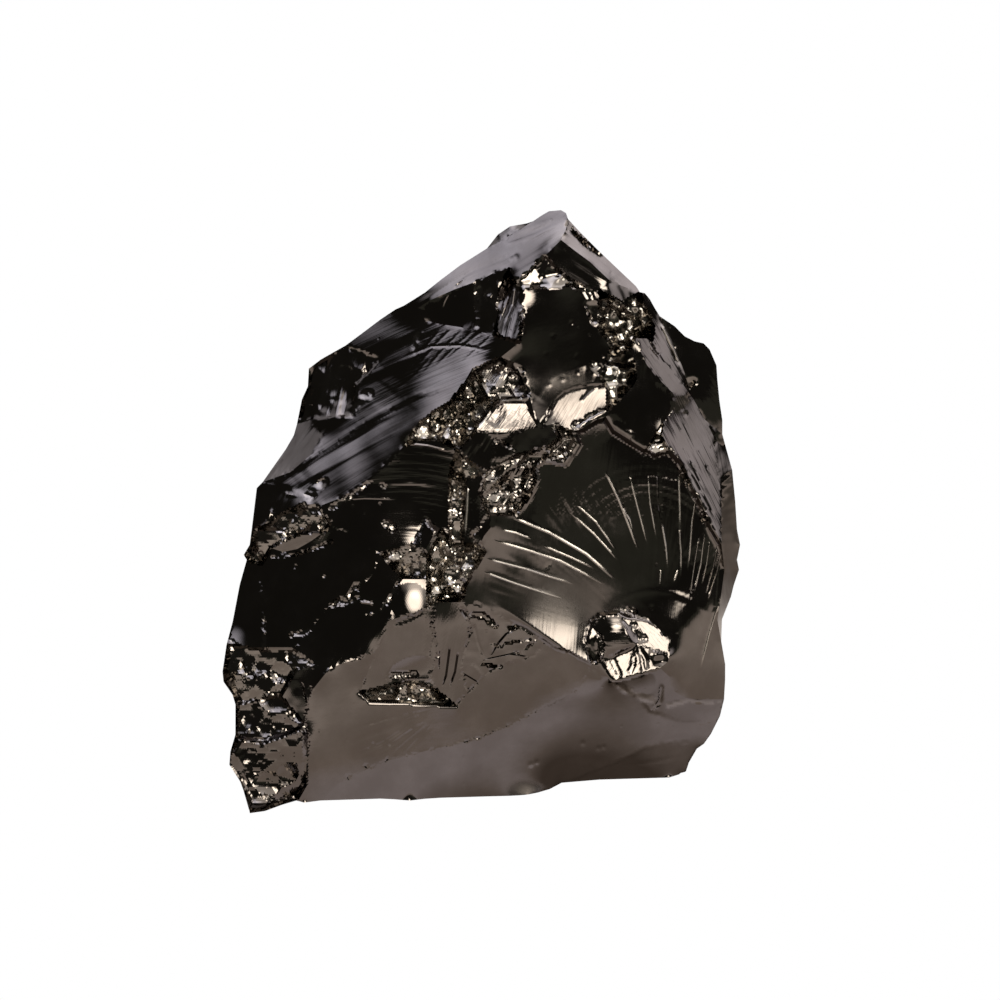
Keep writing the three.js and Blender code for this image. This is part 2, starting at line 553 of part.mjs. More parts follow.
// Even steps along a line of stops, from just after its first stop to its last
function stepsAlong(stops, step) {
  const steps = [];
  for (let i = 1; i < stops.length; i += 1) {
    const [x0, y0] = stops[i - 1];
    const [x1, y1] = stops[i];
    const pieces = Math.max(1, Math.round(Math.hypot(x1 - x0, y1 - y0) / step));
    for (let j = 1; j <= pieces; j += 1) {
      const share = j / pieces;
      steps.push([x0 + (x1 - x0) * share, y0 + (y1 - y0) * share]);
    }
  }
  return steps;
}

for (const [name, [across, up]] of Object.entries(corners)) {
  cornerIndex[name] = addPoint(across, up, baseCorners.has(name));
}

// The run of points from one corner to the next, shared by the faces on both its sides
function ridge(from, to) {
  const key = `${from} ${to}`;
  const back = `${to} ${from}`;
  if (ridges[back]) {
    return [...ridges[back]].reverse();
  }
  if (!ridges[key]) {
    const stops = bends[key] ?? [...(bends[back] ?? [])].reverse();
    const grounded = baseCorners.has(from) && baseCorners.has(to);
    const steps = stepsAlong([corners[from], ...stops, corners[to]], MESH_STEP).slice(0, -1);
    const run = [cornerIndex[from], ...steps.map(([x, y]) => addPoint(x, y, grounded)), cornerIndex[to]];
    ridges[key] = run;
  }
  return [...ridges[key]];
}

function loopOf(face) {
  const names = face.loop.split(" ");
  const loop = names.flatMap((name, i) => ridge(name, names[(i + 1) % names.length]).slice(0, -1));
  const area = THREE.ShapeUtils.area(loop.map((i) => new THREE.Vector2(points[i].across, points[i].up)));
  return area < 0 ? loop.reverse() : loop;
}

function turnOf(a, b, c) {
  const [p, q, r] = [points[a], points[b], points[c]];
  return (q.across - p.across) * (r.up - p.up) - (q.up - p.up) * (r.across - p.across);
}

function inCircle(a, b, c, d) {
  const p = points[d];
  const rows = [a, b, c].map((i) => {
    const x = points[i].across - p.across;
    const y = points[i].up - p.up;
    return [x, y, x * x + y * y];
  });
  const [[ax, ay, aa], [bx, by, bb], [cx, cy, cc]] = rows;
  return ax * (by * cc - bb * cy) - ay * (bx * cc - bb * cx) + aa * (bx * cy - by * cx);
}

// Turns the shared side of two triangles wherever that makes them rounder
function relax(triangles) {
  const sides = new Map();
  const note = (t) => triangles[t].forEach((a, k) => sides.set(`${a} ${triangles[t][(k + 1) % 3]}`, t));
  triangles.forEach((_, t) => note(t));
  const open = [...sides.keys()];
  while (open.length > 0) {
    const [a, b] = open.pop().split(" ").map(Number);
    const left = sides.get(`${a} ${b}`);
    const right = sides.get(`${b} ${a}`);
    if (left === undefined || right === undefined) {
      continue;
    }
    const c = triangles[left].find((i) => i !== a && i !== b);
    const d = triangles[right].find((i) => i !== a && i !== b);
    const convex = turnOf(d, b, c) > 1e-9 && turnOf(c, a, d) > 1e-9;
    if (convex && inCircle(a, b, c, d) > 1e-9) {
      sides.delete(`${a} ${b}`);
      sides.delete(`${b} ${a}`);
      triangles[left] = [c, d, b];
      triangles[right] = [d, c, a];
      note(left);
      note(right);
      open.push(`${a} ${d}`, `${d} ${b}`, `${b} ${c}`, `${c} ${a}`);
    }
  }
}

function gapTo(others, across, up) {
  return Math.min(...others.map((i) => Math.hypot(points[i].across - across, points[i].up - up)));
}

// Puts one more point into the triangle that holds it
function insert(triangles, added) {
  const hit = triangles.findIndex(([a, b, c]) =>
    turnOf(a, b, added) > 1e-6 && turnOf(b, c, added) > 1e-6 && turnOf(c, a, added) > 1e-6);
  if (hit < 0) {
    return false;
  }
  const [a, b, c] = triangles[hit];
  triangles.splice(hit, 1, [a, b, added], [b, c, added], [c, a, added]);
  return true;
}

// Fills a loop with near-even triangles of about the given step, with points along its creases
function fill(loop, step, grounded, lines) {
  const outline = loop.map((i) => new THREE.Vector2(points[i].across, points[i].up));
  const triangles = THREE.ShapeUtils.triangulateShape(outline, []).map((t) => t.map((i) => loop[i]));
  triangles.forEach((t) => turnOf(...t) < 0 && t.reverse());
  relax(triangles);
  const taken = [...loop];
  const tryPoint = (across, up, room, rise) => {
    if (gapTo(taken, across, up) < room) {
      return;
    }
    const added = addPoint(across, up, grounded, rise);
    if (insert(triangles, added)) {
      taken.push(added);
    } else {
      points.pop();
    }
  };
  for (const line of lines) {
    for (const [across, up] of [line[0], ...stepsAlong(line, CREASE_STEP)]) {
      tryPoint(across, up, CREASE_STEP * 0.5, CREASE_RISE);
    }
  }
  relax(triangles);
  const box = new THREE.Box2().setFromPoints(outline);
  const rowStep = step * Math.sqrt(3) / 2;
  let row = 0;
  for (let up = box.min.y + rowStep / 2; up < box.max.y; up += rowStep) {
    row += 1;
    for (let across = box.min.x + step * (row % 2 ? 0.25 : 0.75); across < box.max.x; across += step) {
      tryPoint(across, up, step * 0.6, 0);
    }
  }
  relax(triangles);
  return triangles;
}

// Every triangle of the skin with the slope its face asks for
const skin = [];
function addFaces(faces, hidden) {
  for (const [name, face] of Object.entries(faces)) {
    const step = hidden ? HIDDEN_STEP : (face.chips ? CHIP_STEP : MESH_STEP);
    const loop = loopOf(face);
    const first = points.length;
    for (const three of fill(loop, step, name === "base", creases[name] ?? [])) {
      skin.push({ name, face, hidden, corners: three });
    }
    face.loopPoints = loop;
    face.inner = [];
    for (let i = first; i < points.length; i += 1) {
      face.inner.push(i);
    }
  }
}
addFaces(frontFaces, false);
addFaces(backFaces, true);

// The weights that turn three heights at a triangle's corners into its slope
function slopeWeights([a, b, c]) {
  const [p, q, r] = [points[a], points[b], points[c]];
  const twice = turnOf(a, b, c);
  return {
    area: twice / 2,
    across: [(q.up - r.up) / twice, (r.up - p.up) / twice, (p.up - q.up) / twice],
    up: [(r.across - q.across) / twice, (p.across - r.across) / twice, (q.across - p.across) / twice],
  };
}

// Finds how far each point stands out: the faces' slopes balanced over the whole skin
function balance() {
  for (const point of points) {
    if (point.grounded) {
      point.out = -point.up * leanCos / leanSin;
    }
  }
  const parts = skin.filter(({ name }) => name !== "base").map(({ face, corners: three }) => {
    const weights = slopeWeights(three);
    const middle = ["across", "up"].map((axis) => three.reduce((sum, i) => sum + points[i][axis], 0) / 3);
    const wanted = slopeAt(face, ...middle);
    const weight = (face.hold ?? 1) * weights.area / (1 + wanted[0] ** 2 + wanted[1] ** 2) ** 2;
    return { three, weights, wanted, weight };
  });
  const pull = (heights, useWanted) => {
    const force = new Float64Array(points.length);
    for (const { three, weights, wanted, weight } of parts) {
      let across = useWanted ? wanted[0] : 0;
      let up = useWanted ? wanted[1] : 0;
      three.forEach((i, k) => {
        across -= heights[i] * weights.across[k];
        up -= heights[i] * weights.up[k];
      });
      three.forEach((i, k) => {
        force[i] += weight * (across * weights.across[k] + up * weights.up[k]);
      });
    }
    points.forEach((point, i) => {
      if (point.grounded) {
        force[i] = 0;
      }
    });
    return force;
  };
  const scale = new Float64Array(points.length).fill(1e-9);
  for (const { three, weights, weight } of parts) {
    three.forEach((i, k) => {
      scale[i] += weight * (weights.across[k] ** 2 + weights.up[k] ** 2);
    });
  }
  const heights = Float64Array.from(points, ({ out }) => out);
  const left = pull(heights, true);
  const step = left.map((value, i) => value / scale[i]);
  let size = left.reduce((sum, value, i) => sum + value * step[i], 0);
  const goal = size * 1e-12;
  for (let round = 0; round < 4000 && size > goal; round += 1) {
    const push = pull(step, false);
    const along = step.reduce((sum, value, i) => sum - value * push[i], 0);
    const reach = size / along;
    heights.forEach((_, i) => {
      heights[i] += reach * step[i];
      left[i] += reach * push[i];
    });
    const next = left.reduce((sum, value, i) => sum + value * value / scale[i], 0);
    const carry = next / size;
    step.forEach((value, i) => {
      step[i] = left[i] / scale[i] + carry * value;
    });
    size = next;
  }
  points.forEach((point, i) => {
    point.out = heights[i];
  });
}
balance();

// How far the far side stands out behind a place
function farSideAt({ across, up }) {
  const here = addPoint(across, up);
  const over = skin.find(({ hidden, corners: [a, b, c] }) =>
    hidden && turnOf(a, b, here) >= 0 && turnOf(b, c, here) >= 0 && turnOf(c, a, here) >= 0);
  let out = -Infinity;
  if (over) {
    const [a, b, c] = over.corners;
    const shares = [turnOf(b, c, here), turnOf(c, a, here), turnOf(a, b, here)];
    const sum = over.corners.reduce((total, i, k) => total + points[i].out * shares[k], 0);
    out = sum / turnOf(a, b, c);
  }
  points.pop();
  return out;
}

// Shell-shaped chips: each bites a small bowl, and the bowls meet in sharp edges
function chipFace(face) {
  const [size, depth] = face.chips;
  const outline = face.loopPoints.map((i) => points[i]);
  const box = new THREE.Box2().setFromPoints(outline.map((p) => new THREE.Vector2(p.across, p.up)));
  const span = box.getSize(new THREE.Vector2());
  const count = Math.ceil(span.x * span.y / (size * size) * 1.6);
  const bowls = Array.from({ length: count }, () => ({
    across: box.min.x + random() * span.x,
    up: box.min.y + random() * span.y,
    reach: size * (0.5 + random()),
    depth: depth * (0.4 + 1.2 * random()),
    lean: [random() - 0.5, random() - 0.5],
  }));
  for (const i of face.inner) {
    const point = points[i];
    let bite = 0;
    for (const bowl of bowls) {
      const x = (point.across - bowl.across) / bowl.reach;
      const y = (point.up - bowl.up) / bowl.reach;
      const hollow = bowl.depth * (1 - x * x - y * y + bowl.lean[0] * x + bowl.lean[1] * y);
      bite = Math.max(bite, hollow);
    }
    point.out -= Math.min(bite, Math.max(0, point.out - farSideAt(point) - THINNEST_RIM));
  }
}
Object.values(frontFaces).filter(({ chips }) => chips).forEach(chipFace);
for (const point of points) {
  point.out += point.rise;
}

// From the layout to the stone's own frame: right, away, high
function place({ across, up, out }) {
  const size = STONE_WIDTH / LAYOUT_WIDTH;
  const away = up * leanSin - out * leanCos;
  const high = up * leanCos + out * leanSin;
  return [across * size, away * size, high * size];
}

const placed = points.map(place);
const box = new THREE.Box3().setFromPoints(placed.map((p) => new THREE.Vector3(...p)));
const middle = box.getCenter(new THREE.Vector3());
const positions = placed.flatMap(([x, y, z], i) => [
  x - middle.x,
  y - middle.y,
  points[i].grounded ? 0 : Math.max(z, GROUND_GAP),
]);
const indices = skin.flatMap(({ hidden, corners: [a, b, c] }) => (hidden ? [a, c, b] : [a, b, c]));

const geometry = new THREE.BufferGeometry();
geometry.setAttribute("position", new THREE.Float32BufferAttribute(positions, 3));
geometry.setIndex(indices);
geometry.computeVertexNormals();
const material = new THREE.MeshStandardMaterial({
  color: STONE.colour,
  roughness: STONE.roughness,
  metalness: STONE.metalness,
});
const stone = new THREE.Mesh(geometry, material);
stone.name = "shungite_stone";

const specimen = new THREE.Group();
specimen.add(stone);
export default specimen;
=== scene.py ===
"""A lump of elite shungite: a natural mirror-black stone that breaks in shell-like faces.

The stone is laid out on a plane that leans back: across, up, and out of that plane, in
millimetres. Its broken faces meet in a network of corners and ridges. Each face asks for a
facing, one balance over the whole skin finds how far every point stands out, and the fine
marks of the break, its rays, rings, ripples, chips and pits, are then raised on top.
"""

import math

import bpy
import numpy as np
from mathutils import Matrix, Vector
from mathutils.geometry import delaunay_2d_cdt


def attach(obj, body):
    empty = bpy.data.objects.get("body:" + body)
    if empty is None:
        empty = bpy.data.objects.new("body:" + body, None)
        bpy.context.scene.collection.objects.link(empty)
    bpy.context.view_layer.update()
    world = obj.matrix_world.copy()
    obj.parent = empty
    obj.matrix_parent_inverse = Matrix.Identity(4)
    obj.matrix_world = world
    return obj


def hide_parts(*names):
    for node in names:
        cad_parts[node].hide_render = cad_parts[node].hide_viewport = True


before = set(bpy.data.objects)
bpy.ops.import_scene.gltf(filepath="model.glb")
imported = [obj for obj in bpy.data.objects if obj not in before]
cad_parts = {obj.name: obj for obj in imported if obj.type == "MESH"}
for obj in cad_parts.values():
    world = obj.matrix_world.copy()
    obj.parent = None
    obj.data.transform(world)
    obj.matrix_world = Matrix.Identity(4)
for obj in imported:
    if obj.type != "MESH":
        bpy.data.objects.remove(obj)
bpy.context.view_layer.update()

# The stone's real width, and the width and backward lean of its layout
MM = 0.001
STONE_WIDTH = 52.0
LAYOUT_WIDTH = 51.8
LAYOUT_SCALE = STONE_WIDTH / LAYOUT_WIDTH
LAYOUT_LEAN = 15.0
LEAN_COS = math.cos(math.radians(LAYOUT_LEAN))
LEAN_SIN = math.sin(math.radians(LAYOUT_LEAN))

# How fine the mesh is: within the faces, along the ridges, and in rows along the fine lines.
# The triangles are those inside a face's loop, and points closer than the reach are joined.
NEAR_STEP = 0.205
FAR_STEP = 0.37
BASE_STEP = 1.2
RIDGE_STEP = 0.20
LATTICE_STARTS = (0.75, 0.25)
LATTICE_CLEAR = 0.6
FINE_LINE = 0.3
ROW_STEP = 0.2
ROW_CLEAR = 0.75
ROW_WALL = 0.15
ROW_APART = 0.07
KEEP_INSIDE = 1
JOIN_REACH = 1e-7

# The balance: how softly facings blend, and when it has settled
LOOK_REACH = 1.5
BALANCE_ROUNDS = 3000
BALANCE_REST = 1e-11

# The least height of the points beside the flat base, in layout millimetres
GROUND_GAP = 0.1

# Chips along the ridges: how deep, and the size, share and seed of their two grains
RIDGE_CHIP = 0.09
RIDGE_GRAINS = ((0.35, 1.0, 77), (1.7, 0.4, 78))

# The solid's big chips: their seed, how many there are, and their least size and depths
CHIP_SEED = 20317
CHIP_CROWD = 1.6
CHIP_LEAST = 0.5
CHIP_SHALLOW, CHIP_DEEPER = 0.4, 1.2

# Small bowls of a crushed place: how many, how their sizes and leans vary, and their level.
# Without shards they aren't stretched, and the search for the highest starts deep down.
CRUSH_CROWD = 1.7
CRUSH_SIZES = (0.6, 1.7)
CRUSH_LEANS = (0.2, 1.4)
CRUSH_LEVEL = 0.7
NO_SHARDS = (0, 1)
DEEP_DOWN = -9.0

# Splinters on a crushed face, against its chips, and grit in patches on top of them
SPLINTER_SIZE, SPLINTER_DEPTH = 0.55, 0.4
SPLINTER_CALM, SPLINTER_WILD = 0.12, 0.48
SPLINTER_SEED = 900
GRIT = (0.45, 0.05, 0.5)
GRIT_SEED = 700
PATCH_MEAN, PATCH_SWING, PATCH_SIZE = 0.6, 1.5, 1.1
PATCH_SEED = 600

# A finer grain on top of a coarse one: its share, how much finer it is each way, its seed's step
STREAK_GRAIN = (0.6, 1, 2.1, 7)
SWELL_GRAIN = (0.45, 2.3, 2.3, 3)
SPREAD_GRAIN = (0.5, 2.3, 1, 5)

# How the marks fade: the ends of a ray, combs and ripples at their limits, tips at a ridge
RAY_START, RAY_END = 0.12, 0.25
FADE_TURN, FADE_REACH = 10, 1.0
STEP_BACK = 0.5
SCOOP_WIDEN, SCOOP_SOFT, SCOOP_LIP = 1.6, 7, 0.15

# Degrees between the stops of an arc, and a gap wider than any on the stone
ARC_STEP = 5
FAR_OFF = 1e9

# Crushed seams: their ragged sides, how far they are worked out, and the tip of their chips
SEAM_RAGGED, SEAM_RAG_SIZE = 0.5, 0.8
SEAM_BAND, SEAM_EDGE = 1.6, 0.3
SEAM_TIP = 0.6

# How strongly the crests of burrs and seams are painted with a light glint colour
BURR_PAINTED_GLINT, BURR_FOCUS = 0.7, 1.5
SEAM_PAINTED_GLINT = 0.08

# The run of chances that the solid uses too, and the mixing behind the lattice of heights
CHANCE_TIMES, CHANCE_PLUS, CHANCE_RANGE = 1103515245, 12345, 2147483648
KNOT_ACROSS, KNOT_UP, KNOT_SEED, KNOT_MIX = 374761393, 668265263, 974711, 1274126177
WHOLE_WORD, LOW_WORD, HALF_WORD = 0xFFFFFFFF, 0xFFFF, 32767.5

# How sharp a bend in the mesh is drawn as an edge, as the cosine of the angle
SHARP_BEND = math.cos(math.radians(38))
RIDGE_BEND = math.cos(math.radians(7))

# The stone's mirror colour: clean, grimed, crushed (lighter: partly the greyer crushed stone, partly a
# painted sheen), and a painted glint on the crest of a burr
STONE_DARK = (0.110, 0.098, 0.089)
STONE_LIGHT = (0.135, 0.122, 0.113)
STONE_CRUSHED_PAINTED_SHEEN = (0.26, 0.24, 0.215)
STONE_PAINTED_GLINT = (0.66, 0.62, 0.56)
STONE_GLANCE = (0.4, 0.4, 0.4)

# How rough the mirror is, and what grime, crushing, pin pits and crests add to that
ROUGH_MIRROR = 0.05
ROUGH_GRIME = 0.07
ROUGH_CRUSHED = 0.10
ROUGH_PIT = 0.1
ROUGH_CREST = 0.55

# Where the grime stains, wears and tints the mirror, and the rim of a pin pit
GRIME_STAIN = (0.42, 0.7)
GRIME_WEAR = (0.3, 0.6)
GRIME_TINT = (0.35, 0.75)
PIT_RIM = (0.03, 0.10)

# How fine the waves, the grime and the pin pits are, in cells to the metre
WAVE_SCALE = 900.0
GRIME_SCALE = 260.0
PIT_SCALE = 420.0

# Height of the finest relief, in millimetres: combing, waviness and pin pits
COMB_RELIEF = 2.0
WAVE_RELIEF = 0.003
PIT_RELIEF = 0.01

# The ground as the stone mirrors it, painted in rings round a point a little right of the stone's middle, in
# metres: a dark painted shadow close to the stone and a painted brighter ring beyond; and the stretch over
# which its front fades to a painted dark, the tone of the room
GROUND_PAINTED_RINGS = [
    (0.0145, (0.30, 0.24, 0.20)),
    (0.0180, (0.60, 0.51, 0.46)),
    (0.0218, (1.04, 0.94, 0.96)),
    (0.027, (1.06, 0.96, 0.97)),
    (0.033, (0.78, 0.66, 0.58)),
    (0.050, (0.86, 0.75, 0.67)),
    (0.080, (1.15, 1.02, 0.92)),
]
GROUND_END = (0.085, 0.30)
GROUND_FRONT = (-0.4, 0.0)
GROUND_MIDDLE = 0.006
GROUND_DIM = (0.12, 0.122, 0.098)
GROUND_HALF = 1.5
GROUND_LOW = -0.0002
WHITE = (1, 1, 1)

# The room that the stone mirrors, and its panels of light: bearing from straight ahead,
# height, full and outer half-width in degrees, and colour
ROOM_DARK = (0.040, 0.038, 0.033)
PANELS = [
    (-6, 42, 7, 17, (10.5, 9.7, 8.6)),
    (-5, 56, 4, 14, (3.0, 2.8, 2.5)),
    (56, 29, 5, 14, (10.0, 9.4, 8.4)),
    (24, -4, 8, 26, (0.08, 0.085, 0.065)),
    (-107, 60, 10, 29, (2.3, 2.35, 2.8)),
    (-140, 28, 5, 20, (0.9, 0.9, 1.0)),
    (180, 62, 15, 45, (1.6, 1.6, 1.75)),
    (45, 72, 22, 42, (1.6, 1.5, 1.4)),
    (125, 42, 8, 28, (3.0, 2.9, 3.15)),
    (98, 17, 6, 22, (1.7, 1.62, 1.7)),
]

# The camera: its lens, the layout width it takes in, and the layout point at its middle
LENS = 800.0
SENSOR_WIDTH = 36.0
VIEW_WIDTH = 100.0
VIEW_CENTRE = (2.0, 31.0, 0.0)
VIEW_REACH = (0.1, 20.0)

# Corners of the network: across and up the layout, in millimetres
CORNERS = {
    "edge1": (8.8, 59.1), "edge2": (16, 51.8), "edge3": (18, 49.4), "edge4": (22.4, 46.7),
    "edge5": (23.7, 44.5), "edge6": (24.3, 37.6), "edge7": (25.8, 28), "edge8": (26, 24),
    "edge9": (24.2, 16.8), "edge10": (24.5, 11), "edge11": (24.1, 9.3), "edge12": (22.5, 6.5),
    "foot1": (20, 3.4), "foot2": (8.2, 2.6), "foot3": (4, 1.4), "foot4": (-7, 0.9), "foot5": (-16, 0.9),
    "foot6": (-18.4, 0.9), "foot7": (-23, -0.3), "edge13": (-23.7, 2), "edge14": (-25.1, 4.5),
    "edge15": (-24.5, 7.5), "edge16": (-24.5, 10.5), "edge17": (-25.7, 12.8), "edge18": (-25.4, 16.5),
    "edge19": (-23.4, 25), "edge20": (-23.1, 26.5), "edge21": (-22.9, 28), "edge22": (-22.4, 32.2),
    "edge23": (-21.8, 32.8), "edge24": (-18.4, 38.6), "edge25": (-17.2, 44.2), "edge26": (-13.5, 46.5),
    "edge27": (-7.6, 50.5), "edge28": (0.7, 56.2), "edge29": (5.3, 58.9), "crown1": (-6.1, 50.3),
    "crown2": (2.9, 54), "crown3": (3.4, 52.9), "crown4": (6.5, 55.4), "crown5": (8.1, 57),
    "scoop1": (-5.5, 49), "scoop2": (1.5, 47.5), "scoop3": (3.9, 46.7), "strip1": (4.2, 52.2),
    "leaf1": (2, 45.2), "leaf2": (-0.6, 44), "leaf3": (-3, 40.7), "leaf4": (-7.5, 36.5),
    "leaf5": (-16.3, 30.3), "leaf6": (-17, 31.4), "lobe1": (-16.7, 39.3), "thorn1": (-10, 45.2),
    "thorn2": (-12.8, 39.5), "scar1": (12, 51.9), "scar2": (12.2, 43), "scar3": (12.8, 42.2),
    "glow1": (6, 38.3), "glow2": (7.3, 38.6), "glow3": (9.2, 37.8), "glow4": (12.7, 40),
    "brush1": (5, 41.3), "brush2": (2, 41.1), "brush3": (3.2, 37.7), "brush4": (-0.6, 37.8),
    "lens1": (15.6, 47.4), "lens2": (17.2, 47), "hatch1": (21.3, 41.2), "hatch2": (22.6, 39),
    "hatch3": (24.2, 26.5), "hatch4": (18.8, 36.2), "hatch5": (18.2, 38.5), "hatch6": (19.2, 41.8),
    "rim1": (12.6, 39.3), "rim2": (16.8, 36.2), "mid1": (-2.2, 36), "mid2": (3.8, 35.5),
    "mid3": (0.6, 33.8), "mid4": (-3, 33.2), "mid5": (8.5, 34.8), "mid6": (3.5, 29.5), "mid7": (1, 29.5),
    "mid8": (0, 26.5), "mid9": (-1.8, 26.5), "mid10": (-1.6, 33), "mid11": (-3, 26.5),
    "splint1": (-6.8, 26.5), "splint2": (-5.5, 29.2), "splint3": (-3.8, 28), "splint4": (-5.2, 25.3),
    "band1": (-15, 28.8), "band2": (-15.5, 27.9), "band3": (-21, 26.2), "flank1": (-21.8, 24.6),
    "low1": (-9.8, 25.6), "low3": (-12.8, 21.4), "low4": (-15, 20.5), "low5": (-18.8, 16),
    "low6": (-21.8, 16), "low7": (-9.2, 18.9), "low8": (-7.8, 23.2), "glint1": (-5.2, 23.2),
    "glint2": (-5.2, 20.3), "sole1": (-17, 11.7), "sole2": (-15, 14.2), "sole3": (-10.4, 15.9),
    "sole4": (-1.8, 21), "sole5": (-4.5, 21), "sole6": (-4.4, 12), "sole7": (-12, 11.8),
    "sole8": (-1.2, 11.8), "sole9": (6.5, 16.9), "slab1": (-16.7, 14.6), "slab2": (-18.3, 14.2),
    "slab3": (-20, 11.4), "slab4": (-17.6, 8.6), "toe1": (-22.4, 11), "toe2": (-21.8, 7),
    "toe3": (-17.4, 2.6), "knob1": (11.2, 14.6), "knob2": (11.1, 18.8), "knob3": (13.8, 19.8),
    "knob4": (15.6, 16.5), "knob5": (19, 15.5), "knob6": (12.3, 14.9), "knob7": (18, 14.2),
    "knob8": (13.2, 12.8), "crack1": (19.2, 12), "crack2": (17, 9.8), "crown6": (3, 57.5),
    "sheen1": (13, 52.9), "crest1": (10.5, 52.2), "swirl1": (14.2, 50.7), "rim3": (17.5, 37.3),
    "ledge1": (8, 37.2), "band4": (-18.3, 26.1), "sole12": (-2.5, 10.4), "knob9": (16.3, 13.5),
    "heel1": (-22.3, 3.7), "heel2": (-18.5, 8), "heel3": (-8, 10.7), "heel4": (7, 10.7),
    "heel5": (16.5, 9.1), "heel6": (20.4, 5.9), "back1": (-12, 40), "back2": (6, 46), "back3": (16, 34),
    "back4": (-14, 22), "back5": (4, 24), "back6": (19, 18), "back7": (-19.5, 14),
}

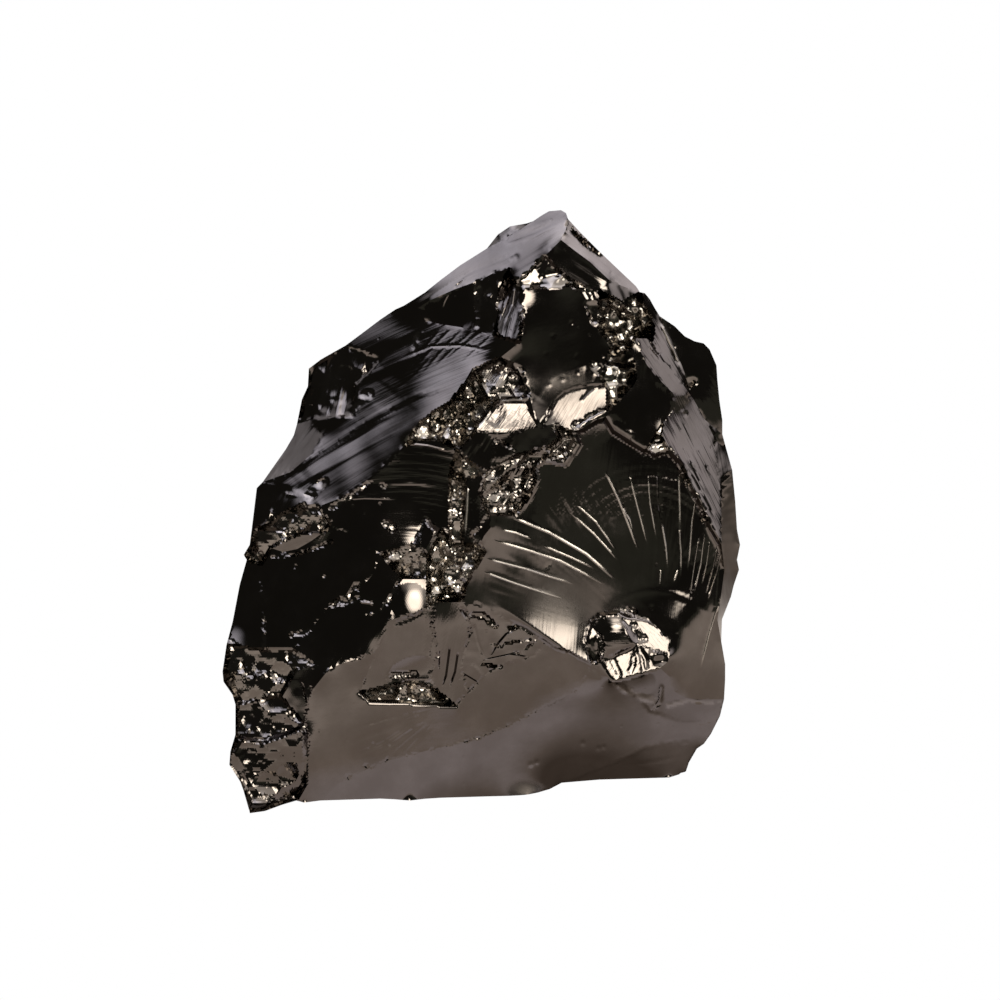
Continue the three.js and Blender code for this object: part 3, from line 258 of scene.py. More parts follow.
# Where the ridge from one corner to another bends
BENDS = {
    "edge29 edge1": [(6.2, 59.5), (6.9, 59.9), (8.1, 60), (8.6, 59.7)],
    "edge1 edge2": [(10, 57.8), (12, 55.8), (14, 53.9), (15.6, 52.4)],
    "edge2 edge3": [(16.5, 51.7), (17, 51.1), (17.5, 50.2)],
    "edge3 edge4": [(19.5, 48.4), (20.5, 47.4), (21.5, 46.9)], "edge4 edge5": [(23, 46.1)],
    "edge5 edge6": [(23.8, 43), (24, 41), (24.3, 39)],
    "edge6 edge7": [(24.8, 35.8), (25.3, 34), (25.6, 31)], "edge7 edge8": [(26.1, 26.5), (25.8, 25)],
    "edge8 edge9": [(25.5, 22.5), (25.2, 21.3), (24.3, 19)], "edge9 edge10": [(24.6, 14.5), (24.6, 13)],
    "edge11 edge12": [(23.2, 7.5)], "edge12 foot1": [(21.8, 6), (21, 4.6), (20.7, 3.7)],
    "foot1 foot2": [(19, 3.1), (12, 2.9)], "foot2 foot3": [(7, 2), (5.8, 1.66), (4.8, 1.47)],
    "foot3 foot4": [(3, 1.35), (1, 1.3), (-4, 1.16), (-5.6, 1.06), (-6.4, 0.97)],
    "foot4 foot5": [(-7.7, 0.95), (-8.6, 1.02), (-10, 1.08)], "foot5 foot6": [(-17.6, 0.7)],
    "foot6 foot7": [(-19.8, 0.5), (-21.5, -0.1)], "edge13 edge14": [(-24, 2.8)],
    "edge14 edge15": [(-25, 5.8)], "edge16 edge17": [(-24.8, 11.5)], "edge17 edge18": [(-25.8, 13.8)],
    "edge18 edge19": [(-24.8, 18.8), (-24.1, 22.5)], "edge19 edge20": [(-23.7, 25.5)],
    "edge23 edge24": [(-20.9, 34.1), (-19.5, 36.1), (-18.7, 37.5)],
    "edge24 edge25": [(-17.9, 41.1), (-17.3, 42.4)], "edge25 edge26": [(-16, 45.1), (-15.3, 45.5)],
    "edge26 edge27": [(-12, 47.6), (-10, 49.1), (-8.5, 50.1)],
    "edge27 edge28": [(-5.5, 51.8), (-4, 53), (-2, 54.5)],
    "edge28 edge29": [(1.8, 57.6), (3, 58.4), (4.7, 58.7)],
    "crown1 crown2": [(-5, 51), (-2.5, 52.1), (0, 53), (1.7, 53.9)],
    "crown3 crown4": [(4, 53.1), (5, 53.9)], "crown5 edge1": [(8.6, 58.1)],
    "crown2 scoop2": [(2, 52), (1.8, 50)], "scoop1 scoop2": [(-4, 48.6), (-2, 48.3), (0, 47.8)],
    "strip1 scoop3": [(4.2, 49)], "leaf2 leaf3": [(-1.4, 42.8)],
    "leaf3 leaf4": [(-4, 40.2), (-6, 38.7), (-7.2, 37.2)],
    "leaf4 leaf5": [(-9, 35), (-12, 32.4), (-14, 31.2)],
    "lobe1 edge23": [(-16, 37.5), (-17, 35.5), (-19, 33.8)],
    "scar1 scar2": [(12, 48), (13.2, 46.5), (12.7, 44.8)],
    "glow1 scar3": [(6.8, 39.5), (7.5, 41), (8.5, 41.8), (10, 42.3), (12, 42.5)],
    "glow4 scar3": [(12.8, 41)], "leaf1 brush1": [(3, 44.6), (4.2, 43.3)],
    "brush1 glow1": [(5.3, 40), (5.6, 38.8)], "brush2 brush4": [(1, 40.2), (-0.2, 38.8)],
    "brush4 brush3": [(1.7, 37.5)], "edge2 lens2": [(16.3, 50.6), (17, 49.2), (17.4, 48)],
    "edge3 hatch1": [(19.2, 47), (20.4, 44), (20.8, 42.6)], "lens1 lens2": [(16.4, 47.4)],
    "lens2 hatch1": [(18.4, 45), (20, 43)], "lens1 hatch6": [(16, 46), (16.7, 44.5), (17.5, 43.5)],
    "hatch2 hatch3": [(23.4, 37.4), (23.8, 35), (24.2, 31)],
    "hatch3 hatch4": [(23.2, 28.2), (22, 31), (21.2, 32.5), (20.2, 34.8)], "hatch5 hatch6": [(19.4, 40.2)],
    "rim1 rim2": [(13.4, 38), (15, 37), (16.4, 36.1)], "glow3 rim1": [(10.3, 38.2), (11.6, 39)],
    "glow3 mid5": [(9.7, 36.5)], "mid5 mid6": [(6.5, 35.2), (5.3, 34.5), (5.5, 33), (4.8, 31.2)],
    "mid7 mid8": [(1.2, 28.4), (0.4, 27.4)], "mid8 sole4": [(0.5, 25.8), (-0.7, 24), (-1.5, 22.2)],
    "leaf4 mid1": [(-6, 37), (-4, 37), (-3, 36.4)], "band1 low1": [(-14, 28), (-12.5, 27.4), (-11.3, 26.4)],
    "leaf5 edge21": [(-18, 30.5), (-19.8, 29.6), (-21, 28.6)], "band2 band3": [(-18, 27.6), (-19.6, 27)],
    "flank1 low6": [(-22, 22), (-21.6, 19)], "low3 low1": [(-10.8, 23.4)], "low4 low5": [(-17, 18)],
    "sole2 sole3": [(-13.6, 14.7), (-11.8, 15.3)], "sole3 low7": [(-9.8, 17.2)],
    "sole4 sole9": [(0, 20.5), (1.5, 19.8), (3, 19), (5.3, 17.6)],
    "sole9 knob1": [(7.5, 16.2), (9, 15.8), (10, 15.2)],
    "sole5 sole6": [(-4.8, 18.5), (-4.2, 15.5), (-5, 13.6)],
    "sole4 sole8": [(-1.2, 19.4), (-1, 17.8), (-2, 14.5)],
    "foot2 edge12": [(12, 4), (14.5, 5), (16.5, 6), (18.5, 6.5), (21, 6.7)],
    "crack1 edge10": [(20.5, 11.2), (22, 11)], "crack2 edge11": [(18.8, 9.2), (20.5, 8.5), (22.5, 8.6)],
    "knob2 knob3": [(12, 19.6)], "knob3 knob5": [(14.8, 19.3), (16.8, 19), (18, 18), (18.8, 16.7)],
    "knob5 knob7": [(18.8, 14.8)], "knob1 knob8": [(12, 13.2)], "knob8 crack2": [(14.5, 11.8), (16, 11.1)],
    "crack1 crack2": [(18.2, 10.4)], "knob1 knob2": [(10.6, 17)],
    "crown5 sheen1": [(9.5, 55.9), (11, 54.8)], "sheen1 edge2": [(14.5, 52.3)],
    "crown4 crest1": [(7.5, 54.2), (9, 53)], "strip1 crest1": [(7, 52.2), (9, 52.4)],
    "glow4 glow3": [(12, 39.8), (10.3, 38.8)],
    "glow4 lens1": [(13.5, 40.7), (14.5, 41.8), (15.5, 43), (15.4, 44.5), (14.8, 46)],
    "leaf6 edge23": [(-19.5, 32.3)], "thorn2 thorn1": [(-12.5, 42.5)], "hatch4 rim2": [(17.5, 35.7)],
    "hatch4 hatch5": [(18, 37.5)], "hatch3 edge9": [(24.5, 24), (24.1, 21), (23.8, 19)],
    "ledge1 mid2": [(6.8, 36.3), (5.5, 36)], "mid2 brush3": [(3, 36.5)], "mid7 mid3": [(0, 31.5)],
    "mid1 mid3": [(-1, 34.7)], "mid4 mid1": [(-2.8, 34.5)], "brush2 leaf2": [(0.8, 41.1), (0.2, 42.2)],
    "glint2 low7": [(-6.5, 19.6), (-8, 19.3)], "low3 low7": [(-10.8, 20.8), (-9.8, 20)],
    "band3 band4": [(-19.7, 25.8)], "band4 band2": [(-16.9, 26.9)],
    "sole6 sole7": [(-6.5, 12.8), (-8.5, 12.5)], "sole9 sole8": [(5.5, 15.5), (1, 14)],
    "sole12 sole7": [(-7, 10.7), (-11, 10.9)],
    "foot5 knob1": [(-13, 3.2), (-10, 4.7), (-5, 6), (0, 7.2), (4, 9), (8, 11), (10, 12.2)],
    "slab4 toe3": [(-17.2, 7.5), (-17.4, 4)], "toe3 foot5": [(-17, 2)], "crack1 knob7": [(19.1, 13.2)],
    "knob2 knob6": [(12, 17.5), (12.4, 16.5)],
}


def facet(loop, *looks, **more):
    """A broken face: its loop of corners, and the ways it looks.

    A look is a turn and a lift in degrees, and the place on the face that asks for them. hold
    is how firmly the face keeps its looks. A crushed face also has chips, the size and depth
    of its bowls, crush, how crushed it is, and shards, the angle and stretch of its splinters.
    """
    return {"loop": loop, "looks": looks, **more}


# The faces in view
NEAR_FACES = {
    "crown": facet(
        "edge27 edge28 crown6 edge29 edge1 crown5 crown4 crown3 crown2 crown1",
        (-36, 48, 4, 57), (-34, 56, -4, 51.8), hold=2,
    ),
    "crownBack": facet("edge28 edge29 crown6", (-80, 42), hold=3),
    "leftScoop": facet("crown1 crown2 scoop2 scoop1", (-20, 5, -3, 51), (-38, 30, 0, 49)),
    "scoopStrip": facet("crown2 crown3 strip1 scoop3 scoop2", (-50, 44), hold=6),
    "leaf": facet(
        "edge26 edge27 crown1 scoop1 scoop2 scoop3 leaf1 leaf2 leaf3 leaf4 leaf5 leaf6 edge23 lobe1 "
        "thorn2 thorn1",
        (-40, 40, 0, 45), (-40, 41, -3.5, 42), (-40, 54, -9, 37), (-40, 46, -11.5, 34.2),
        (-44, 23, -18, 32.5), (-46, 38, -9, 48.5), (-50, 19, -8, 45.8), (-50, 21, -12, 42.5),
        (-50, 18, -15.5, 37.5), (-48, 24, -3, 47.5), (-50, 20, -17, 35.5), (-46, 18, -15.7, 35.2),
        (-46, 22, -12.5, 39.2), hold=2,
    ),
    "thorns": facet(
        "edge25 edge26 thorn1 thorn2 lobe1 edge24",
        (-52, 12), crush=0.05, shards=(80, 3), chips=(1.6, 0.35),
    ),
    "lobe": facet("edge24 lobe1 edge23", (-62, 45), hold=2),
    "leftCorner": facet("edge23 leaf6 leaf5 edge21 edge22", (-46, 14)),
    "sheen": facet("crown5 edge1 edge2 sheen1", (50, 50), hold=2),
    "night": facet("crown5 sheen1 scar1 crest1 crown4", (18, 12), hold=2),
    "crestRubble": facet(
        "crown3 crown4 crest1 strip1",
        (-6, 30), hold=3, crush=0.35, shards=(15, 2.2), chips=(0.9, 0.2),
    ),
    "swirl": facet("scar1 sheen1 edge2 swirl1", (50, 30), hold=3),
    "topScar": facet(
        "strip1 crest1 scar1 scar2 scar3 glow1 brush1 leaf1 scoop3",
        (4, 10, 8, 50), (0, 14, 7, 44),
    ),
    "glow": facet("glow1 scar3 glow4 glow3 glow2", (-4, 28), hold=4),
    "rim": facet("glow3 glow4 rim1", (-2, 34), hold=6),
    "rightRubble": facet(
        "scar1 swirl1 edge2 lens2 lens1 glow4 scar3 scar2",
        (32, 16), shards=(-60, 1.6), chips=(1.5, 0.4),
    ),
    "edgeStrip": facet("edge2 edge3 hatch1 lens2", (60, 34), hold=3),
    "lens": facet("lens1 lens2 hatch1 hatch6", (44, 30), hold=3),
    "backFlat": facet("edge3 edge4 edge5 edge6 hatch2 hatch1", (30, 6), hold=3),
    "rightEdge": facet("hatch2 edge6 edge7 edge8 edge9 hatch3", (72, 2)),
    "hatch": facet(
        "hatch1 hatch2 hatch3 hatch4 hatch5 hatch6",
        (46, 18, 19, 39), (56, 22, 23.5, 34), hold=2,
    ),
    "blackScar": facet("glow4 lens1 hatch6 hatch5 rim3 rim2 rim1", (24, 14, 14, 40), (27, 8, 17, 42)),
    "crumbs": facet("hatch5 hatch4 rim2 rim3", (20, 20), chips=(0.9, 0.25)),
    "fan": facet(
        "mid7 mid6 mid5 glow3 rim1 rim2 hatch4 hatch3 edge9 edge10 crack1 knob7 knob5 knob3 knob2 knob1 "
        "sole9 sole4 mid8",
        (20, 26, 12, 37.5), (8, -8, 0.8, 26), (8, 12, 5, 30), (10, 16, 6, 25.5), (14, 17, 11, 31),
        (12, 24, 8, 23), (14, 23, 10.5, 26), (16, 21, 13, 23.5), (18, 12, 15, 29), (24, 12, 20, 29),
        (18, 14, 13, 22), (22, 12, 18, 23), (8, 3, 3, 20.5), (34, -2, 23, 17), (30, -4, 21, 12.5),
        (30, 4, 22, 24), (0, 27, 8.5, 18.5), (16, 12, 17, 20.5),
    ),
    "ledge": facet("brush3 glow1 glow2 ledge1 mid2", (12, 16), hold=3),
    "lumps": facet(
        "mid2 ledge1 glow2 glow3 mid5 mid6 mid7 mid3",
        (8, 12), crush=0.3, shards=(55, 2.2), chips=(1.6, 0.6),
    ),
    "pocketFace": facet("brush4 brush3 mid2 mid3 mid1", (-4, -2)),
    "pocket": facet("mid1 mid3 mid10 mid4", (-20, 5), shards=(-60, 1.8), chips=(1, 0.4)),
    "blackScoop": facet("mid10 mid3 mid7 mid8 mid9", (-32, 8)),
    "splinters": facet("mid4 mid10 mid9 mid11", (-30, 5), shards=(88, 3), chips=(0.9, 0.3)),
    "brushTop": facet(
        "leaf2 leaf1 brush1 brush2",
        (-6, 31), hold=5, crush=0.3, shards=(45, 1.8), chips=(1.2, 0.35),
    ),
    "brushed": facet("brush2 brush1 glow1 brush3 brush4", (-8, 28), hold=4),
    "leftRubble": facet(
        "leaf3 leaf2 brush2 brush4 mid1 leaf4",
        (-15, 18), shards=(40, 1.8), chips=(1.3, 0.5),
    ),
    "rippled": facet(
        "leaf5 leaf4 mid1 mid4 mid11 splint3 splint2 splint1 low1 band1",
        (-15, 2, -5, 34), (-22, 14, -10, 28),
    ),
    "splint": facet("splint1 splint2 splint3 splint4", (-26, 32), hold=2),
    "dimple": facet("low1 splint1 splint4 glint1 low8", (-15, 10), crush=0.6, chips=(1, 0.3)),
    "lowRubble": facet(
        "splint4 splint3 mid11 mid9 mid8 sole4 sole5 glint2 glint1",
        (-5, 15), shards=(-55, 1.7), chips=(1.3, 0.5),
    ),
    "glint": facet("low8 glint1 glint2 low7", (-5, 28), hold=5),
    "wedge": facet("low1 low8 low7 low3", (-25, 12)),
    "lowScoop": facet("low4 low3 low7 sole3 sole2 slab1 low5", (-28, 16, -13, 19), (-26, 8, -13, 16)),
    "flank": facet("flank1 band3 band4 band2 band1 low1 low3 low4 low5 low6", (-28, 12)),
    "flankLeft": facet("edge19 flank1 low6 edge18", (-43, 14)),
    "band": facet(
        "edge21 leaf5 band1 band2 band3 flank1 edge19 edge20",
        (-38, -2), crush=0.5, chips=(1.3, 0.4),
    ),
    "bandLens": facet("band2 band3 band4", (-28, -14), hold=6),
    "slab": facet("slab1 sole1 slab4 slab3 slab2", (-24, -6), hold=3),
    "chink": facet("slab1 sole2 sole1", (-40, 10)),
    "nodules": facet(
        "edge18 low6 low5 slab1 slab2 slab3 toe1 edge16 edge17",
        (-20, 6), crush=0.3, shards=(80, 1.8), chips=(1.8, 0.6),
    ),
    "nodulesMid": facet("edge15 edge16 toe1 slab3 slab4 toe2", (-24, 10), crush=0.1, chips=(1.7, 0.5)),
    "toe": facet(
        "edge14 edge15 toe2 slab4 toe3 foot6 foot7 edge13",
        (-14, 2), crush=0.03, chips=(1.9, 0.45),
    ),
    "toeGap": facet("toe3 foot5 foot6", (0, -10)),
    "petal": facet(
        "sole3 low7 glint2 sole5 sole6 sole7",
        (-4, -8, -8, 17), (-8, 2, -5.2, 15.5), (-4, -4, -6.5, 20),
    ),
    "petalRight": facet(
        "sole5 sole4 sole8 sole12 sole6",
        (14, -8, -2.4, 17), (8, 2, -3.4, 20), (14, -4, -3, 13.5),
    ),
    "roughSole": facet("sole4 sole9 sole8", (16, -6)),
    "chipLedge": facet("sole7 sole6 sole12", (0, 15), shards=(-20, 2.5), chips=(0.9, 0.25)),
    "sole": facet(
        "sole1 sole2 sole3 sole7 sole12 sole8 sole9 knob1 foot5 toe3 slab4",
        (10, -7), (8, -16, -16.4, 7.5),
    ),
    "soleLow": facet("foot5 knob1 knob8 crack2 edge11 edge12 foot2 foot3 foot4", (14, -14)),
    "soleRight": facet("foot2 edge12 foot1", (26, -20)),
    "soleLens": facet("crack2 crack1 edge10 edge11", (34, -20)),
    "knobLeft": facet("knob1 knob2 knob6", (-14, 26), hold=6),
    "knobFront": facet("knob2 knob3 knob4 knob6", (-10, 12), hold=3),
    "knobBright": facet("knob3 knob5 knob4", (22, 28), hold=4),
    "knobChin": facet("knob6 knob4 knob9 knob8", (-6, 32), hold=7),
    "knobCheek": facet("knob4 knob5 knob7 knob9", (24, 26), hold=7),
    "knobFoot": facet("knob8 knob9 knob7 crack1 crack2", (20, -24)),
    "knobSide": facet("knob1 knob6 knob8", (-15, -10)),
}

# The faces that close the stone behind and below
FAR_FACES = {
    "backCrown": facet("edge27 edge28 edge29 back2 back1", (-148, 40)),
    "backPeak": facet("edge29 edge1 edge2 edge3 edge4 back2", (146, 40)),
    "backShoulder": facet("edge24 edge25 edge26 edge27 back1", (-122, 20)),
    "backRight": facet("edge4 edge5 edge6 back3 back2", (132, 20)),
    "backMain": facet("back1 back2 back5 back4", (-172, 22)),
    "backWedge": facet("back2 back3 back5", (165, 20)),
    "backLeft": facet("edge19 edge20 edge21 edge22 edge23 edge24 back1 back4", (-118, 8)),
    "backLow": facet("edge14 edge15 edge16 edge17 edge18 edge19 back4 back7", (-114, 5)),
    "backFoot": facet("back4 back5 heel4 heel3 heel2 back7", (-166, 9)),
    "backCheek": facet("back5 back3 back6 heel5 heel4", (157, 10)),
    "backSide": facet("edge6 edge7 edge8 back6 back3", (118, 8)),
    "backHip": facet("edge8 edge9 edge10 edge11 edge12 foot1 heel6 heel5 back6", (116, -9)),
    "backToe": facet("foot7 edge13 edge14 back7 heel2 heel1", (-112, -14)),
    "base": facet(
        "foot7 foot6 foot5 foot4 foot3 foot2 foot1 heel6 heel5 heel4 heel3 heel2 heel1",
        (0, -90),
    ),
}

GROUNDED = set(FAR_FACES["base"]["loop"].split())


def bends_between(start, end):
    """The bends of the ridge from one corner to another."""
    return BENDS.get(f"{start} {end}") or BENDS.get(f"{end} {start}", [])[::-1]


def loop_sides(face):
    """The sides of a face's loop, each as the names of its two corners."""
    names = face["loop"].split()
    return zip(names, names[1:] + names[:1])


def loop_stops(face):
    """A face's loop: its corners and the bends between them."""
    return [stop for start, end in loop_sides(face) for stop in (CORNERS[start], *bends_between(start, end))]


def slope_of(turn, lift):
    """How fast a face stands out across and up the layout, from the way it looks."""
    turn, lift = math.radians(turn), math.radians(lift)
    right = math.sin(turn) * math.cos(lift)
    near = math.cos(turn) * math.cos(lift)
    high = math.sin(lift)
    out = near * LEAN_COS + high * LEAN_SIN
    climb = high * LEAN_COS - near * LEAN_SIN
    return -right / out, -climb / out


def slopes_at(looks, x, y):
    """The slopes that a face asks for at many places, its facings weighed by nearness."""
    total = np.zeros_like(x)
    across, up = np.zeros_like(x), np.zeros_like(x)
    for turn, lift, *place in looks:
        a, b = slope_of(turn, lift)
        gap = (x - place[0]) ** 2 + (y - place[1]) ** 2 if place else 0.0
        weight = 1 / (gap + LOOK_REACH) ** 2
        across += a * weight
        up += b * weight
        total += weight
    return across / total, up / total


class Skin:
    """Every point and triangle of the stone, before it is set in its own frame."""

    def __init__(self):
        self.places = []
        self.grounded = []
        self.runs = {}
        self.corner = {name: self.add(x, y, name in GROUNDED) for name, (x, y) in CORNERS.items()}
        self.triangles, self.owners, self.faces = [], [], []

    def add(self, x, y, grounded=False):
        """Adds a point of the layout and gives its number."""
        self.places.append((x, y))
        self.grounded.append(grounded)
        return len(self.places) - 1

    def ridge(self, start, end):
        """The run of points from one corner to the next, shared by the faces on both sides."""
        if (end, start) in self.runs:
            return self.runs[end, start][::-1]
        if (start, end) not in self.runs:
            line = [CORNERS[start], *bends_between(start, end), CORNERS[end]]
            low = start in GROUNDED and end in GROUNDED
            run = [self.corner[start]]
            for (x0, y0), (x1, y1) in zip(line, line[1:]):
                pieces = max(1, round(math.hypot(x1 - x0, y1 - y0) / RIDGE_STEP))
                for k in range(1, pieces + 1):
                    share = k / pieces
                    run.append(self.add(x0 + (x1 - x0) * share, y0 + (y1 - y0) * share, low))
            self.places.pop()
            self.grounded.pop()
            run[-1] = self.corner[end]
            self.runs[start, end] = run
        return self.runs[start, end]

    def fill(self, name, face, step, hidden):
        """Fills a face's loop with near-even triangles."""
        loop = [i for start, end in loop_sides(face) for i in self.ridge(start, end)[:-1]]
        edge = np.array([self.places[i] for i in loop])
        ahead = np.roll(edge, -1, 0)
        if np.sum(edge[:, 0] * ahead[:, 1] - ahead[:, 0] * edge[:, 1]) < 0:
            loop.reverse()
            edge = edge[::-1].copy()
            ahead = np.roll(edge, -1, 0)
        inner = lattice_inside(edge, ahead, step)
        rows = mark_rows(name, edge, ahead)
        if len(rows):
            inner = np.array(inner)
            clear = np.ones(len(inner), bool)
            for row in rows:
                clear &= ((inner - row) ** 2).sum(1) > (ROW_STEP * ROW_CLEAR) ** 2
            inner = [*inner[clear], *rows]
        ids = loop + [self.add(x, y, name == "base") for x, y in inner]
        spots = [Vector(self.places[i]) for i in ids]
        outline = [list(range(len(loop)))]
        _, _, threes, sources, _, _ = delaunay_2d_cdt(spots, [], outline, KEEP_INSIDE, JOIN_REACH)
        origin = [ids[source[0]] for source in sources]
        self.faces.append((name, face, hidden, np.array(ids)))
        for three in threes:
            self.triangles.append([origin[i] for i in three])
            self.owners.append(len(self.faces) - 1)


def lattice_inside(edge, ahead, step):
    """Points of a six-sided lattice that lie inside a loop, clear of its line."""
    low, high = edge.min(0), edge.max(0)
    rise = step * math.sqrt(3) / 2
    spots = []
    for row, y in enumerate(np.arange(low[1] + rise / 2, high[1], rise)):
        x = np.arange(low[0] + step * LATTICE_STARTS[row % 2], high[0], step)
        crossed = (edge[:, 1] > y) != (ahead[:, 1] > y)
        sides = edge[crossed, 0] + (y - edge[crossed, 1]) * (
            (ahead[crossed, 0] - edge[crossed, 0]) / (ahead[crossed, 1] - edge[crossed, 1])
        )
        x = x[(sides[None, :] > x[:, None]).sum(1) % 2 == 1]
        near = edge[np.abs(edge[:, 1] - y) < step]
        if len(near) and len(x):
            gap = np.hypot(near[None, :, 0] - x[:, None], near[None, :, 1] - y).min(1)
            x = x[gap > step * LATTICE_CLEAR]
        spots += [(value, y) for value in x]
    return spots


def inside(spots, edge, ahead):
    """Which of the spots lie inside a loop."""
    crossed = (edge[None, :, 1] > spots[:, None, 1]) != (ahead[None, :, 1] > spots[:, None, 1])
    rise = np.where(ahead[:, 1] == edge[:, 1], 1.0, ahead[:, 1] - edge[:, 1])
    lean = (ahead[:, 0] - edge[:, 0]) / rise
    sides = edge[None, :, 0] + (spots[:, None, 1] - edge[None, :, 1]) * lean[None, :]
    return (crossed & (sides > spots[:, None, 0])).sum(1) % 2 == 1


def mark_rows(name, edge, ahead):
    """Extra points along a face's fine lines: one row on the line and one on each side of it."""
    kept = np.empty((0, 2))
    for mark, *values in MARKS.get(name, []):
        if mark not in (ray, burr) or values[1] > FINE_LINE:
            continue
        stops, width = np.array(values[0]), values[1]
        spots = []
        for start, end in zip(stops, stops[1:]):
            gone = end - start
            length = math.hypot(*gone)
            over = np.array((-gone[1], gone[0])) / length * width
            for share in np.arange(0, 1, ROW_STEP / length):
                spots += [start + gone * share + over * side for side in (-1, 0, 1)]
        spots = np.array(spots)
        spots = spots[inside(spots, edge, ahead)]
        if not len(spots):
            continue
        wall = np.array([((edge - spot) ** 2).sum(1).min() for spot in spots])
        spots = spots[wall > ROW_WALL**2]
        fresh = [
            spot for spot in spots if not len(kept) or ((kept - spot) ** 2).sum(1).min() > ROW_APART**2
        ]
        if fresh:
            kept = np.concatenate([kept, fresh])
    return kept


def build_skin():
    """Lays out every face's points and triangles, and gathers them in arrays."""
    skin = Skin()
    for name, face in NEAR_FACES.items():
        skin.fill(name, face, NEAR_STEP, False)
    for name, face in FAR_FACES.items():
        skin.fill(name, face, BASE_STEP if name == "base" else FAR_STEP, True)
    skin.place = np.array(skin.places)
    skin.low = np.array(skin.grounded)
    skin.three = np.array(skin.triangles)
    skin.owner = np.array(skin.owners)
    skin.hidden = np.array([hidden for _, _, hidden, _ in skin.faces])[skin.owner]
    skin.base = [name for name, *_ in skin.faces].index("base")
    return skin


def balance(skin):
    """Finds how far each point stands out: the faces' slopes balanced over the whole skin."""
    used = skin.owner != skin.base
    three = skin.three[used]
    owner = skin.owner[used]
    x, y = skin.place[:, 0][three], skin.place[:, 1][three]
    twice = (x[:, 1] - x[:, 0]) * (y[:, 2] - y[:, 0]) - (y[:, 1] - y[:, 0]) * (x[:, 2] - x[:, 0])
    across = (np.roll(y, -1, 1) - np.roll(y, -2, 1)) / twice[:, None]
    up = (np.roll(x, -2, 1) - np.roll(x, -1, 1)) / twice[:, None]
    wanted = np.zeros((len(three), 2))
    hold = np.ones(len(three))
    for k, (_, face, *_) in enumerate(skin.faces):
        mine = owner == k
        wanted[mine, 0], wanted[mine, 1] = slopes_at(face["looks"], x[mine].mean(1), y[mine].mean(1))
        hold[mine] = face.get("hold", 1)
    weight = hold * twice / 2 / (1 + (wanted**2).sum(1)) ** 2
    count = len(skin.place)
    pull = weight[:, None] * (wanted[:, :1] * across + wanted[:, 1:] * up)
    force = np.bincount(three.ravel(), pull.ravel(), count)
    starts, ends, stiffness = [], [], []
    own = np.zeros(count)
    for a in range(3):
        own += np.bincount(three[:, a], weight * (across[:, a] ** 2 + up[:, a] ** 2), count)
        b = (a + 1) % 3
        starts.append(three[:, a])
        ends.append(three[:, b])
        stiffness.append(weight * (across[:, a] * across[:, b] + up[:, a] * up[:, b]))
    starts, ends, stiffness = map(np.concatenate, (starts, ends, stiffness))
    free = ~skin.low
    own[own <= 0] = 1.0

    def press(heights):
        """How hard the faces press each point back when the points stand out like this."""
        result = own * heights
        result += np.bincount(starts, stiffness * heights[ends], count)
        result += np.bincount(ends, stiffness * heights[starts], count)
        return result * free

    # Conjugate gradients, with the points of the flat base held where they are
    out = np.where(skin.low, -skin.place[:, 1] * LEAN_COS / LEAN_SIN, 0.0)
    left = force * free - press(out)
    step = left / own
    size = left @ step
    goal = size * BALANCE_REST
    for _ in range(BALANCE_ROUNDS):
        if size < goal:
            break
        push = press(step)
        reach = size / (step @ push)
        out += reach * step
        left -= reach * push
        following = left @ (left / own)
        step = left / own + step * (following / size)
        size = following
    skin.out = out


class Chance:
    """The steady run of chances that places the big chips, the same as in the solid."""

    def __init__(self, seed):
        self.value = seed

    def next(self):
        """The next chance, from 0 to 1."""
        self.value = (self.value * CHANCE_TIMES + CHANCE_PLUS) % CHANCE_RANGE
        return self.value / CHANCE_RANGE


def big_chips(face, chance):
    """The bowls that the solid's chipped faces carry, with the same places and depths."""
    size, depth = face["chips"]
    stops = loop_stops(face)
    low, high = np.min(stops, 0), np.max(stops, 0)
    span = high - low
    bowls = []
    for _ in range(math.ceil(span[0] * span[1] / size**2 * CHIP_CROWD)):
        x = low[0] + chance.next() * span[0]
        y = low[1] + chance.next() * span[1]
        reach = size * (CHIP_LEAST + chance.next())
        deep = depth * (CHIP_SHALLOW + CHIP_DEEPER * chance.next())
        bowls.append((x, y, reach, deep, chance.next() - 0.5, chance.next() - 0.5))
    return bowls


def bite(x, y, bowls):
    """How deep the deepest of the bowls goes at each place; their rims stay sharp."""
    deepest = np.zeros_like(x)
    for bx, by, reach, deep, lean_x, lean_y in bowls:
        u, v = (x - bx) / reach, (y - by) / reach
        deepest = np.maximum(deepest, deep * (1 - u * u - v * v + lean_x * u + lean_y * v))
    return deepest


def turned(x, y, angle):
    """Places along and over a direction, given by its angle in degrees."""
    c, s = math.cos(math.radians(angle)), math.sin(math.radians(angle))
    return x * c + y * s, y * c - x * s


def crushed(x, y, size, depth, tip, seed, shards=NO_SHARDS):
    """Small tipped bowls that cover a whole face, with sharp rims where they meet."""
    dice = np.random.default_rng(seed)
    angle, stretch = shards
    x, y = turned(x, y, angle)
    x = x / stretch
    low, high = np.array((x.min(), y.min())), np.array((x.max(), y.max()))
    count = int(np.prod((high - low) / size)) + 1
    spots = dice.uniform(low - size, high + size, (int(count * CRUSH_CROWD), 2))
    reach = size * dice.uniform(*CRUSH_SIZES, len(spots))
    leans = dice.uniform(-tip, tip, (len(spots), 2)) * dice.uniform(*CRUSH_LEANS, len(spots))[:, None]
    highest = np.full_like(x, DEEP_DOWN)
    for spot, wide, lean in zip(spots, reach, leans):
        u, v = x - spot[0], y - spot[1]
        here = depth * (1 - (u * u + v * v) / wide**2) + lean[0] * u + lean[1] * v
        highest = np.maximum(highest, here)
    return highest - depth * CRUSH_LEVEL


